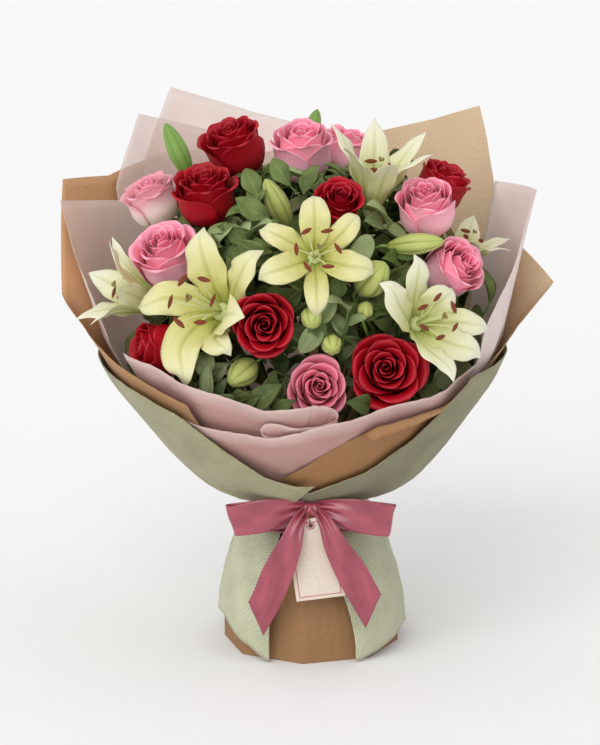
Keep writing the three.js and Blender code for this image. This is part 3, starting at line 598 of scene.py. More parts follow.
def stemPath(name, start, back, radius):
    # A stem's line, from its bloom down to the foot: the middles of the rings that its long edges end in.
    points, edges = weldedNode(name)
    long = edges[np.linalg.norm(points[edges[:, 0]] - points[edges[:, 1]], axis=1) > tracing["longEdge"]]
    ends = points[np.unique(long)]
    middles = []
    while len(ends):
        near = np.linalg.norm(ends - ends[0], axis=1) < tracing["ringReach"] * radius
        middle = ends[near].mean(axis=0)
        spread = np.linalg.norm(ends[near] - middle, axis=1).mean()
        if near.sum() >= 3 and abs(spread - radius) < tracing["ringFit"] * radius:
            middles.append(middle)
        ends = ends[~near]

    def away(middle):
        return np.linalg.norm(middle - start)

    rings = sorted((m for m in middles if away(m) > tracing["clearOfBloom"]), key=away)
    first = start + tracing["firstRun"] * back
    return evenly(smoothLine([start, first, *rings], 240), tracing["points"])


def leafRoots(name, path, look, ignored):
    # Where a stem's leaves are: a leaf's tip stands out furthest, and its root is where it leaves the path.
    points, edges = weldedNode(name)
    away = np.min(np.linalg.norm(points[:, None] - path[None, ::2], axis=2), axis=1)
    furthest = np.ones(len(points), bool)
    for a, b in edges:
        furthest[a if away[a] < away[b] - 1e-6 else b] &= abs(away[a] - away[b]) <= 1e-6
    forward = unit(-np.gradient(path, axis=0))
    found = []
    shortest, longest = (share * look["length"] for share in tracing["leafReach"])
    for tip in points[furthest & (away > tracing["tipAway"] * look["length"])]:
        near = [np.linalg.norm(tip - other[1]) < tracing["sameTip"] for other in found]
        near += [np.linalg.norm(tip - other) < tracing["otherTip"] for other in ignored]
        if any(near):
            continue
        reach = tip - path
        length = np.linalg.norm(reach, axis=1)
        rise = (reach * forward).sum(1)
        fit = np.abs(rise - tracing["leafLean"] * np.linalg.norm(reach - rise[:, None] * forward, axis=1))
        fit[(length > longest) | (length < shortest)] = 1e9
        best = int(fit.argmin())
        if fit[best] < tracing["leafFit"]:
            found.append((path[best], tip, forward[best]))
    return found


def startTree(name, inputs):
    tree = bpy.data.node_groups.new(name, "GeometryNodeTree")
    for label, kind in [("Geometry", "Geometry"), *inputs, ("Finish", "Material")]:
        tree.interface.new_socket(label, in_out="INPUT", socket_type="NodeSocket" + kind)
    tree.interface.new_socket("Geometry", in_out="OUTPUT", socket_type="NodeSocketGeometry")
    return tree, tree.nodes.new("NodeGroupInput").outputs


def endTree(tree, geometry, given):
    whole = addNode(tree, "GeometryNodeRealizeInstances", {0: geometry})
    shaded = addNode(tree, "GeometryNodeSetShadeSmooth", {0: whole.outputs[0]})
    coloured = {"Geometry": shaded.outputs[0], "Material": given["Finish"]}
    addNode(tree, "NodeGroupOutput", {0: addNode(tree, "GeometryNodeSetMaterial", coloured).outputs[0]})
    return tree


def rodTree():
    # A round rod along each line of a mesh, as thick as the points' own "thickness" says.
    tree, given = startTree("rodsAlongLines", [("Sides", "Int")])
    line = addNode(tree, "GeometryNodeMeshToCurve", {0: given["Geometry"]})
    size = addNode(tree, "GeometryNodeInputNamedAttribute", {"Name": "thickness"}, data_type="FLOAT")
    ring = addNode(tree, "GeometryNodeCurvePrimitiveCircle", {"Resolution": given["Sides"], "Radius": 1.0})
    rod = addNode(tree, "GeometryNodeCurveToMesh", {
        "Curve": line.outputs[0], "Profile Curve": ring.outputs[0], "Scale": size.outputs[0],
        "Fill Caps": True,
    })
    return endTree(tree, rod.outputs[0], given)


def cordTree():
    # Strands laid round a line, each a thin rod that winds about it.
    inputs = [("Strands", "Int"), ("Offset", "Float"), ("Strand", "Float"), ("Turns", "Float")]
    tree, given = startTree("laidCord", inputs)
    line = addNode(tree, "GeometryNodeMeshToCurve", {0: given["Geometry"]})
    share = addNode(tree, "GeometryNodeSplineParameter").outputs["Factor"]
    wind = addNode(tree, "ShaderNodeMath", {0: share, 1: given["Turns"]}, operation="MULTIPLY")
    tilted = addNode(tree, "GeometryNodeSetCurveTilt", {"Curve": line.outputs[0], "Tilt": wind.outputs[0]})
    core = {"Resolution": given["Strands"], "Radius": given["Offset"]}
    core = addNode(tree, "GeometryNodeCurvePrimitiveCircle", core)
    strand = addNode(tree, "GeometryNodeCurvePrimitiveCircle", {"Resolution": 6, "Radius": given["Strand"]})
    placed = {"Points": core.outputs[0], "Instance": strand.outputs[0]}
    placed = addNode(tree, "GeometryNodeInstanceOnPoints", placed)
    section = addNode(tree, "GeometryNodeRealizeInstances", {0: placed.outputs[0]})
    laid = addNode(tree, "GeometryNodeCurveToMesh", {
        "Curve": tilted.outputs[0], "Profile Curve": section.outputs[0], "Fill Caps": True,
    })
    return endTree(tree, laid.outputs[0], given)


def leafTree():
    # A leaf on every point, turned and sized as the point's own "leafTurn" and "leafSize" say.
    tree, given = startTree("leavesOnStem", [("Leaf", "Object")])
    leafShape = addNode(tree, "GeometryNodeObjectInfo", {"Object": given["Leaf"]})
    turn, size = (addNode(tree, "GeometryNodeInputNamedAttribute", {"Name": name}, data_type="FLOAT_VECTOR")
                  for name in ("leafTurn", "leafSize"))
    euler = addNode(tree, "FunctionNodeEulerToRotation", {0: turn.outputs[0]})
    placed = addNode(tree, "GeometryNodeInstanceOnPoints", {
        "Points": given["Geometry"], "Instance": leafShape.outputs["Geometry"],
        "Rotation": euler.outputs[0], "Scale": size.outputs[0],
    })
    return endTree(tree, placed.outputs[0], given)


trees = {"rod": rodTree(), "cord": cordTree(), "leaf": leafTree()}


def grow(tree, points, edges, attributes, inputs):
    # Runs a tree over a few points and lines, and gives back the plain mesh.
    seed = bpy.data.meshes.new("seed")
    seed.from_pydata([tuple(p) for p in points], [tuple(e) for e in edges], [])
    for name, (kind, values) in attributes.items():
        layer = seed.attributes.new(name, kind, "POINT")
        field = "value" if kind == "FLOAT" else "vector"
        layer.data.foreach_set(field, np.asarray(values, np.float32).ravel())
    carrier = addObject("carrier", seed)
    modifier = carrier.modifiers.new("grow", "NODES")
    modifier.node_group = tree
    for item in tree.interface.items_tree:
        if item.item_type == "SOCKET" and item.in_out == "INPUT" and item.name in inputs:
            modifier[item.identifier] = inputs[item.name]
    graph = bpy.context.evaluated_depsgraph_get()
    grown = carrier.evaluated_get(graph)
    mesh = bpy.data.meshes.new_from_object(grown, preserve_all_data_layers=True, depsgraph=graph)
    carrier.modifiers.clear()
    bpy.data.objects.remove(carrier)
    bpy.data.meshes.remove(seed)
    return mesh


def valuesOf(items, key, width):
    flat = np.zeros(len(items) * width)
    items.foreach_get(key, flat)
    return flat.reshape(-1, width)


def takeMesh(batch, mesh, finish=0):
    # Adds a grown mesh to a batch, with what it knows of its uv and detail.
    count = len(mesh.vertices)
    points = valuesOf(mesh.vertices, "co", 3)
    uv, detail = np.zeros((count, 2)), np.tile([0.5, 0.5, 0.0, 0.5], (count, 1))
    record = mesh.attributes.get("detail")
    if record and record.domain == "POINT":
        detail = valuesOf(record.data, "color", 4)
    if mesh.uv_layers:
        corners = np.zeros(len(mesh.loops), int)
        mesh.loops.foreach_get("vertex_index", corners)
        uv[corners] = valuesOf(mesh.uv_layers[0].data, "uv", 2)
    faces = [list(p.vertices) for p in mesh.polygons]
    quads = [face if len(face) == 4 else [*face, face[-1]] for face in faces if len(face) < 5]
    for first, *rest in (face for face in faces if len(face) > 4):
        quads += [[first, a, b, b] for a, b in zip(rest, rest[1:])]
    batch.add(points, quads, uv, detail, finish)
    bpy.data.meshes.remove(mesh)


def addRods(batch, lines, finishName, finish=0, sides=8):
    # lines: (points in millimetres, radius or radii)
    points, edges, sizes = [], [], []
    for line, radius in lines:
        edges += [(len(points) + i, len(points) + i + 1) for i in range(len(line) - 1)]
        points += [tuple(p) for p in np.asarray(line) * mm]
        sizes += list(np.broadcast_to(radius, len(line)) * mm)
    inputs = {"Sides": sides, "Finish": finishes[finishName]}
    takeMesh(batch, grow(trees["rod"], points, edges, {"thickness": ("FLOAT", sizes)}, inputs), finish)


# Roses. In a row: the node, the finish, where it sits and faces in millimetres, its size, how open it is and
# its spin.
roseData = [
    ("rose_red_top", "red", (-72, 18, 478), (-0.3, -0.36, 0.88), 1.04, 0.25, 20),
    ("rose_red_upper_left", "red", (-99, -41, 441), (-0.12, -0.38, 0.92), 1.03, 0.42, 70),
    ("rose_red_centre_back", "red", (25, -68, 438), (0.1, -0.7, 0.7), 0.74, 0.6, 10),
    ("rose_red_far_right", "red", (123, 26, 440), (0.45, -0.15, 0.86), 0.92, 0.15, 45),
    ("rose_red_front", "red", (-43, -132, 338), (-0.05, -0.98, 0.15), 0.92, 0.75, 0),
    ("rose_red_low_left", "red", (-140, -80, 303), (-0.9, -0.42, 0.12), 0.96, 0.05, 30),
    ("rose_red_front_right", "red", (69, -114, 290), (0, -0.92, 0.36), 1.04, 1, 200),
    ("rose_pink_far_left", "blush", (-150, 6, 430), (-0.35, -0.25, 0.9), 0.92, 0.3, 15),
    ("rose_pink_left", "pink", (-134, -60, 386), (-0.28, -0.5, 0.82), 1.06, 0.45, 100),
    ("rose_pink_top", "pink", (-9, 22, 474), (-0.05, -0.34, 0.94), 1.06, 0.12, 60),
    ("rose_pink_behind", "pink", (32, 66, 470), (0.25, -0.1, 0.95), 0.9, 0.3, 0),
    ("rose_pink_upper_right", "pink", (107, -49, 430), (-0.1, -0.5, 0.86), 0.98, 0.12, 150),
    ("rose_pink_right", "pink", (130, -66, 376), (0.6, -0.58, 0.52), 0.96, 0.25, 80),
    ("rose_pink_front", "rosy", (5, -132, 278), (0.05, -0.94, 0.33), 0.84, 0.8, 40),
]
rose = {
    "height": 52, "rows": 21, "columns": 21, "thickness": 0.42, "heartAside": (1.8, -1.2, 0),
    "closed": 0.12, "closedRise": 6.5, "profilePoints": 240,
}
# Petals from the outside in: how many, the turn of the first, the radius at the belly, where the petal leans
# out and at the rim of an open bloom, the height, the length that leans out, the arc that one covers, how
# far the rim rolls outwards, and the step from one petal to the next.
petalColumns = ("count", "turn", "radii", "height", "lean", "arc", "curl", "lap")
roseLayers = [dict(zip(petalColumns, row)) for row in (
    (3, 36, (25, 25.4, 33), 37, 13, 134, 3.4, 1.5),
    (3, 92, (23.4, 22.6, 29), 41.5, 12, 136, 2.7, 1.5),
    (3, 20, (21.2, 18.8, 24.2), 45, 11, 140, 2.1, 1.6),
    (3, 80, (18.2, 14.6, 18.8), 47.6, 10, 146, 1.6, 1.5),
    (3, 28, (14, 10.9, 14.2), 49.4, 8, 154, 1.1, 1.4),
    (3, 84, (10.3, 7.7, 10), 50.4, 7, 164, 0.8, 1.2),
    (2, 30, (6.8, 4.9, 6.4), 50.8, 5, 226, 0.5, 1),
    (2, 100, (3.6, 2.4, 3.2), 50.2, 4, 250, 0.3, 0.6),
)]


def rosePetal(ring, turn, opening, layer, chance):
    # One petal as a grid, rising from the middle of its bloom along +Z.
    v, u = gridShares(rose["rows"], rose["columns"])
    belly, neck, rim = ring["radii"]
    rim = neck + (rim - neck) * (rose["closed"] + (1 - rose["closed"]) * opening)
    lean = chance.uniform(-0.03, 0.05)
    neck, rim = neck * (1 + lean * 0.4), rim * (1 + lean)
    height = ring["height"] + rose["closedRise"] * (1 - opening) * (belly / 25) ** 1.6
    height = height + chance.uniform(-1.6, 1.4)
    curl = ring["curl"] * chance.uniform(0.7, 1.4) * (0.6 + 0.4 * opening)
    start = height - ring["lean"]
    count = rose["profilePoints"]
    profile = smoothLine([(2.2, 2), (belly * 0.72, height * 0.12), (belly, height * 0.4), (neck, start),
                          (neck + (rim - neck) * 0.42, start + ring["lean"] * 0.6), (rim, height - 0.6),
                          (rim + curl * 0.65, height), (rim + curl, height - curl * 0.6)], count)
    profile = evenly(profile, count)
    point = 0.03 * np.exp(-(u / 0.22) ** 2) * min(1, belly / 18)
    reach = v * (0.97 - 0.24 * np.abs(u) ** 3 - 0.05 * u * u + point)
    radius, level = (np.interp(reach, np.linspace(0, 1, count), profile[:, k]) for k in (0, 1))
    spread = 0.42 + 0.58 * np.sin(np.clip(v / 0.72, 0, 1) * np.pi / 2)
    angle = turn * degree + u * spread * ring["arc"] / 2 * degree
    soft = min(1.0, belly / 14)
    wave = np.sin(u * chance.uniform(2.2, 4.4) + chance.uniform(0, 6)) * v ** 4 * (0.25 + 0.75 * soft)
    ripple = 0.14 * np.sin(u * chance.uniform(9, 14) + chance.uniform(0, 6)) * v ** 6 * soft
    roll = curl * 0.55 * np.abs(u) ** 2.4 * v ** 5
    radius = radius + ring["lap"] * u * np.clip(v * 2.2, 0, 1) + 0.75 * wave + ripple + roll
    radius = radius - 0.05 * belly * u * u * np.clip(v * 1.6, 0, 1)
    level = level + 0.9 * wave + ripple + chance.uniform(-1.3, 1.3) * u * v * soft - roll * 0.4
    grid = np.stack([radius * np.cos(angle), radius * np.sin(angle), level], -1)
    thickness = rose["thickness"] * (1 - 0.5 * v ** 2) * (1 - 0.3 * np.abs(u) ** 3)
    return grid, thickness, plainDetail(rose["rows"], rose["columns"], layer, chance.random())


def roseSeat(at, face, size, spin):
    # A rose's own frame starts at its base.
    return Seat(behind(at, face, rose["height"] * size * 0.5)[0], face, size, spin)


def makeRose(name, look, at, face, size, opening, spin):
    chance = chanceFor(name)
    seat = roseSeat(at, face, size, spin)
    batch = Batch()
    for depth, ring in enumerate(roseLayers):
        layer = depth / (len(roseLayers) - 1)
        aside = np.array(rose["heartAside"]) * layer
        for j in range(ring["count"]):
            angle = ring["turn"] + j * 360 / ring["count"] + chance.uniform(-9, 9)
            grid, thickness, detail = rosePetal(ring, angle, opening, layer, chance)
            grid = grid + aside * np.clip(grid[..., 2:] / rose["height"], 0, 1)
            batch.addShell(seat.put(grid) * mm, thickness * size * mm, detail=detail)
    finishPiece(name + "_bloom", batch, [look], [name])


for row in roseData:
    makeRose(*row)
print("roses are made:", len(roseData))

# Lilies. In a row: the node, the finish, where it sits and faces in millimetres, its size and its spin.
lilyData = [
    ("lily_centre", "lily", (2, -112, 394), (0.06, -0.93, 0.36), 0.98, 4),
    ("lily_left", "lily", (-76, -86, 338), (-0.5, -0.8, 0.34), 1.4, -25),
    ("lily_far_left", "lilyPale", (-138, -44, 336), (-0.85, -0.3, 0.45), 1.04, 20),
    ("lily_top_right", "lilyPale", (54, -24, 420), (0.16, -0.28, 0.94), 1.12, 10),
    ("lily_low_right", "lilyPale", (92, -88, 328), (0.42, -0.84, 0.3), 1.16, -8),
    ("lily_far_right", "lilyPale", (134, -2, 362), (0.42, -0.14, 0.9), 0.88, 0),
]
lily = {
    "rows": 34, "columns": 15, "thickness": 0.75, "core": 8.2, "coreTop": 16, "pistil": 3.6, "tipBack": 4.5,
    "outline": [(0, 0.34), (0.1, 0.52), (0.2, 0.72), (0.32, 0.9), (0.45, 1), (0.58, 0.97), (0.7, 0.83),
                (0.8, 0.63), (0.9, 0.35), (0.96, 0.15), (1, 0.02)],
    "anther": (12.5, 3.7), "petalPoints": 17, "stamenPoints": 8,
    "style": [(0, 0, 8), (0.6, 0.4, 30), (1.4, 1.0, 52)],
}


def addLilyPetal(batch, rowsSeen, seat, chance):
    # rowsSeen, in the bloom's frame: the middle of each of the solid's rows, and half of its width with the
    # direction of it
    middles, sides = rowsSeen
    root = unit(middles[0] * [1, 1, 0]) * 5.5 + [0, 0, 8]
    stations = np.hstack([[root, *middles], unit(np.array([sides[0], *sides[:3], sides[2]]))])
    line = evenly(smoothLine(stations, 200), lily["rows"])
    widest = max(np.linalg.norm(s) for s in sides)
    v, u = gridShares(lily["rows"], lily["columns"])
    half = np.maximum(np.interp(v, *zip(*lily["outline"])) * widest, 0.2)
    along = unit(np.gradient(line[:, :3], axis=0))
    across = unit(line[:, 3:] - along * (line[:, 3:] * along).sum(1)[:, None])
    normal = unit(np.cross(across, along))
    normal = normal * np.sign((normal * [0, 0, 1]).sum(1).mean() + 1e-9)
    fade = np.sin(np.pi * np.clip(v, 0.02, 1))
    ruffle = np.sin(v * chance.uniform(15, 21) + u * 2 + chance.uniform(0, 6)) * np.abs(u) ** 3 * fade * 1.7
    groove = -2.1 * np.exp(-(u / 0.13) ** 2) * (1 - v ** 2)
    ribs = 0.45 * np.cos(u * 9) * (1 - v * v) * (1 - u * u)
    cup = 3.4 * np.abs(u) ** 2 * (1 - v) * fade - 3.2 * np.abs(u) ** 2 * v * fade
    tipBack = -lily["tipBack"] * np.clip((v - 0.7) / 0.3, 0, 1) ** 2
    lift = ruffle + groove + ribs + cup + tipBack
    grid = line[:, None, :3] + across[:, None, :] * (half * u)[..., None]
    grid = grid + normal[:, None, :] * lift[..., None]
    thickness = lily["thickness"] * (1 - 0.6 * np.abs(u) ** 2) * (1 - 0.45 * v) * seat.size
    detail = plainDetail(lily["rows"], lily["columns"], 0.0, chance.random())
    batch.addShell(seat.put(grid) * mm, thickness * mm, detail=detail)


def addEllipsoid(batch, middle, axis, length, width, finish, rows=9, columns=10):
    # A long rounded body about an axis.
    side = unit(np.cross(axis, [0.3, 0.2, 0.9]))
    other = np.cross(axis, side)
    t = np.linspace(0.02, 0.98, rows)[:, None]
    a = roundAngles(columns)[None, :]
    r = np.sin(np.pi * t) ** 0.7 * width / 2 * (1 - 0.18 * np.cos(2 * a))
    grid = middle + axis * ((t - 0.5) * length)[..., None]
    grid = grid + side * (r * np.cos(a))[..., None] + other * (r * np.sin(a))[..., None]
    batch.addSkin(grid * mm, finish=finish)


def lilyParts(name, seat):
    # The solid's petals and stamens, as groups of points in the bloom's own frame.
    points, edges = weldedNode(name)
    own = seat.own(points)
    away = np.linalg.norm(own[:, :2], axis=1)
    kept = ~(((away < lily["core"]) & (own[:, 2] < lily["coreTop"])) | (away < lily["pistil"]))
    groups = [own[g] for g in islands(len(own), edges, kept)]
    petals = [g for g in groups if len(g) >= lily["petalPoints"]]
    return petals, [g for g in groups if lily["stamenPoints"] <= len(g) < lily["petalPoints"]]


def petalRows(group):
    # The four rows of a petal's solid, from its root: the middle of each and half of its width.
    start = group[np.argsort(np.linalg.norm(group - [0, 0, 10], axis=1))[:6]].mean(axis=0)
    order = group[np.argsort(np.linalg.norm(group - start, axis=1))]
    middles, sides = [], []
    for cut in (order[:6], order[6:12], order[12:18], order[18:]):
        middle = cut.mean(axis=0)
        spread = cut - middle
        side = spread[np.linalg.norm(spread, axis=1).argmax()]
        if sides and side @ sides[-1] < 0:
            side = -side
        middles.append(middle)
        sides.append(side)
    return middles, sides


def makeLily(name, look, at, face, size, spin):
    chance = chanceFor(name)
    seat = Seat(at, face, size, spin)
    petals, stamens = lilyParts(name, seat)
    batch = Batch()
    for group in petals:
        addLilyPetal(batch, petalRows(group), seat, chance)
    rods = []
    long, wide = np.array(lily["anther"]) * (0.55 + 0.45 * size)
    for group in stamens:
        hasHead = (group[:, 2] > 40).any()
        tip = group[np.argsort(group[:, 2])[-4:]].mean(axis=0) if hasHead else group.mean(axis=0)
        root = unit(tip * [1, 1, 0]) * 1.6 + [0, 0, 12]
        line = smoothLine([root, (root + tip) / 2 + [0, 0, 4], tip], 12)
        rods.append((seat.put(line), np.linspace(0.95, 0.55, 12) * size))
        lean = unit(np.cross(tip, [0, 0, 1.0])) + [0, 0, 0.35 * chance.uniform(-1, 1)]
        lean = lean + unit(tip * [1, 1, 0]) * chance.uniform(-0.8, 0.8)
        addEllipsoid(batch, seat.put(tip), unit(lean @ seat.turn.T), long, wide, 2)
    rods.append((seat.put(smoothLine(lily["style"], 10)), np.linspace(1.4, 1.1, 10) * size))
    throat = smoothLine([(0, 0, -1), (0, 0, 3), (0, 0, 8), (0, 0, 13)], 8)
    swell = np.interp(np.linspace(0, 1, 8), [0, 0.4, 0.8, 1], [4.2, 6.2, 7, 4])
    rods.append((seat.put(throat), swell * size))
    addRods(batch, rods, "filament", 1)
    for k in range(3):
        lobe = [math.cos(2.1 * k) * 1.6 + 1.4, math.sin(2.1 * k) * 1.6 + 1.0, 52.6]
        addEllipsoid(batch, seat.put(lobe), unit(np.array(face)), 3.4 * size, 3 * size, 3, 6, 8)
    finishPiece(name + "_bloom", batch, [look, "filament", "anther", "stigma"], [name])
    return len(petals), len(stamens)


for row in lilyData:
    print(row[0], "petals and stamens:", *makeLily(*row))
print("lilies are made:", len(lilyData))

# Leaves. An outline is the half width along the leaf, as a share of the widest.
leafKinds = {
    "rose": {
        "finish": "roseLeaf", "teeth": 11, "tooth": 0.055,
        "outline": [(0, 0.03), (0.1, 0.3), (0.32, 0.92), (0.5, 1), (0.75, 0.66), (0.93, 0.22), (1, 0)],
    },
    "gum": {
        "finish": "gumLeaf", "teeth": 0, "tooth": 0,
        "outline": [(0, 0.05), (0.08, 0.3), (0.3, 0.9), (0.52, 1), (0.78, 0.8), (0.93, 0.42), (1, 0)],
    },
    "dark": {
        "finish": "darkLeaf", "teeth": 0, "tooth": 0,
        "outline": [(0, 0.04), (0.1, 0.34), (0.34, 0.94), (0.5, 1), (0.74, 0.7), (0.92, 0.26), (1, 0)],
    },
}
leaf = {"rows": 17, "columns": 7, "thickness": 0.012, "arch": 0.12, "fold": 0.14}


def leafTemplate(kind):
    # A leaf of length 1 and half width 0.5 along +X, its face up.
    look = leafKinds[kind]
    v, u = gridShares(leaf["rows"], leaf["columns"])
    half = smoothLine(look["outline"], 200)
    half = np.interp(v, half[:, 0], half[:, 1]) * 0.5
    if look["teeth"]:
        saw = np.mod(v * look["teeth"], 1) * 2 - 1
        half = half * (1 + look["tooth"] * saw * (np.abs(u) > 0.95))
    half = np.maximum(half, 0.006)
    lift = leaf["arch"] * np.sin(np.pi * v) ** 0.8 + leaf["fold"] * np.abs(u) * half * 2
    lift = lift + 0.02 * np.sin(9 * v) * u ** 2
    along = v + 0 * u
    batch = Batch()
    batch.addShell(np.stack([along, half * u, lift], -1), leaf["thickness"] * (1 - 0.5 * np.abs(u)) + 0 * v,
                   np.stack([half * u, along], -1))
    name = "leafShape_" + kind
    return bpy.data.objects.new(name, batch.makeMesh(name)[0])


templates = {kind: leafTemplate(kind) for kind in leafKinds}


def addLeaves(batch, leaves, kind, share, finish):
    # leaves: (root, tip, up) in millimetres; share: a leaf's width as a share of its length
    if not leaves:
        return
    turns, sizes, roots = [], [], []
    for root, tip, up in leaves:
        forward = unit(tip - root)
        side = unit(np.cross(forward, up))
        lift = np.cross(side, forward)
        length = np.linalg.norm(tip - root)
        turns.append(tuple(Matrix(np.stack([forward, -side, lift], 1).tolist()).to_euler()))
        sizes.append((length * mm, length * share * mm, length * mm))
        roots.append(tuple(root * mm))
    attributes = {"leafTurn": ("FLOAT_VECTOR", turns), "leafSize": ("FLOAT_VECTOR", sizes)}
    inputs = {"Leaf": templates[kind], "Finish": finishes[leafKinds[kind]["finish"]]}
    takeMesh(batch, grow(trees["leaf"], roots, [], attributes, inputs), finish)


# Lily buds. In a row: the lily whose stem carries it, its base, the way it points, its length, its width and
# its finish.
budData = [
    ("lily_far_left", (-114, 6, 452), (-0.4, -0.08, 0.9), 58, 20, "budGreen"),
    ("lily_centre", (-20, -46, 412), (-0.42, -0.2, 0.88), 54, 23, "bud"),
    ("lily_top_right", (69, -80, 400), (0.98, -0.15, 0.12), 54, 20, "bud"),
    ("lily_low_right", (44, -103, 361), (0.5, -0.5, 0.7), 44, 31, "bud"),
    ("lily_low_right", (48, -116, 342), (0.1, -0.6, 0.8), 18, 15, "bud"),
    ("lily_left", (0, -127, 352), (0, -0.75, -0.66), 23, 20, "bud"),
    ("lily_low_right", (17, -122, 323), (0.1, -0.9, -0.4), 22, 19, "bud"),
    ("lily_left", (-52, -104, 297), (-0.6, -0.72, -0.4), 38, 26, "bud"),
    ("lily_top_right", (-4, 70, 470), (0.25, -0.05, 0.97), 42, 17, "budGreen"),
]
bud = {
    "rows": 22, "columns": 48, "seams": 6, "seamDepth": 0.12,
    "outline": [(0, 0.06), (0.02, 0.16), (0.1, 0.27), (0.25, 0.42), (0.42, 0.5), (0.6, 0.48), (0.78, 0.38),
                (0.9, 0.25), (0.97, 0.12), (1, 0.02)],
}


def addBud(batch, at, face, length, width, finish):
    t = np.linspace(0, 1, bud["rows"])[:, None]
    a = roundAngles(bud["columns"])[None, :]
    groove = np.abs(np.cos(bud["seams"] * a / 2)) ** 8
    lobe = 1 + 0.04 * np.cos(bud["seams"] * a / 2 + np.pi)
    r = np.interp(t, *zip(*bud["outline"])) * width * ((1 - bud["seamDepth"] * groove) * lobe)
    grid = np.stack([r * np.cos(a), r * np.sin(a), t * length + 0 * a], -1)
    detail = np.stack([0.2 + 0.65 * t + 0 * a, (1 - groove) * 0.4 + 0 * t, 0 * r, 0 * r + 0.5], -1)
    uv = np.stack(np.broadcast_arrays(a * width * 0.5 * mm, t * length * mm), -1)
    batch.addSkin(Seat(at, face).put(grid) * mm, uv, detail, finish)


# The round hip under a rose as radius and height, and one of its sepals: its line, and its half widths.
cup = {
    "hip": [(0.4, -13), (2.7, -12.4), (5.2, -8), (5, -3.4), (3.4, -0.6), (0.4, -0.4)],
    "columns": 14, "rows": 16, "sepalTip": (24, -8), "sepalTurns": [108, 180, 252, 324, 396],
    "sepal": [(4.4, 0, -3), (10, 0, -3.2), (17, 0, -5), (24, 0, -9)],
    "sepalShares": [0, 0.3, 0.6, 1], "sepalHalves": [2.6, 3.4, 1.8, 0.2],
}


def turnedProfile(profile, columns):
    # A round form's rows of points, from its outline as radius and height.
    a = roundAngles(columns)
    rings = profile[:, :1]
    return np.stack([rings * np.cos(a), rings * np.sin(a), np.repeat(profile[:, 1:], columns, 1)], -1)


def addCup(batch, seat, finish):
    # The hip and its five sepals with their drawn-out tips.
    hip = turnedProfile(smoothLine(cup["hip"], cup["rows"]), cup["columns"])
    batch.addSkin(seat.put(hip) * mm, finish=finish)
    line = smoothLine(cup["sepal"], 12)
    half = np.interp(np.linspace(0, 1, 12), cup["sepalShares"], cup["sepalHalves"])[:, None]
    u = np.linspace(-1, 1, 5)[None, :]
    blade = line[:, None, :] + np.stack([0 * u * half, half * u, -0.8 * u * u + 0 * half], -1)
    for angle in cup["sepalTurns"]:
        spun = blade @ rotation(-angle * degree, "Z")
        batch.addShell(seat.put(spun) * mm, 0.5 * mm, flatUv(spun * mm), finish=finish)


sprayData = [
    ("eucalyptus_front", "gum", (33, -134, 352), 31, 21),
    ("eucalyptus_upper_left", "gum", (-58, -84, 408), 36, 19),
    ("eucalyptus_low_left", "gum", (-96, -128, 286), 31, 20),
    ("greens_right", "dark", (168, -50, 344), 42, 20),
    ("greens_back", "dark", (84, 68, 446), 44, 24),
]
roseLeaf = {"length": 34, "width": 18}
stemRadius = {"rose": 2.6, "lily": 3.0, "spray": 1.8, "bud": 1.5, "twig": 0.8}
stemStart = {"rose": 7, "lily": 1.4, "sprayDrop": 320}

# Where every stem runs, from its bloom or tip down to the foot.
stemLines = {}
for name, look, at, face, size, opening, spin in roseData:
    base, back = behind(behind(at, face, rose["height"] * size * 0.5)[0], face, stemStart["rose"] * size)
    stemLines[name] = stemPath(name + "_stem", base, back, stemRadius["rose"])
for name, look, at, face, size, spin in lilyData:
    base, back = behind(at, face, stemStart["lily"] * size)
    stemLines[name] = stemPath(name + "_stem", base, back, stemRadius["lily"])
for name, kind, tip, length, width in sprayData:
    back = unit(np.array([-tip[0], -tip[1], -stemStart["sprayDrop"]]))
    stemLines[name] = stemPath(name, np.array(tip, float), back, stemRadius["spray"])
print("stems are traced:", len(stemLines))

# Twigs of leaves that fill the dome between the blooms, and the collar behind the front edge of the paper.
filling = {
    "middle": (-6, 8, 326), "reach": (140, 130, 142), "depths": ((170, 1.0), (120, 0.74)),
    "rise": (-0.35, 0.97), "goldenAngle": 137.508, "collar": (-88, 96, 7), "collarGap": (4, 22),
    "collarRadius": 151, "leafLength": (30, 42), "leafShare": 0.56, "leafBack": (0, 0.28, 0.34),
    "leafScale": (1, 0.9, 0.86), "kinds": ("dark", "gum", "dark", "rose", "dark"), "clear": 2.4, "tries": 9,
    "twigReach": (14, 78), "lowestRoot": 170, "front": np.array([0, -0.978, 0.208]), "seed": 97,
    "collarHeight": 256, "collarRise": 0.0055, "collarAside": -8,
}


def solidSkin(names):
    # One search tree over many solids.
    corners, faces = [], []
    for name in names:
        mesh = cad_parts[name].data
        start = len(corners)
        corners += [v.co.copy() for v in mesh.vertices]
        faces += [tuple(i + start for i in p.vertices) for p in mesh.polygons]
    return BVHTree.FromPolygons(corners, faces)


def gapTo(skin, point):
    # How far a point in millimetres is from a skin, in metres.
    return skin.find_nearest(Vector(point * mm))[3]


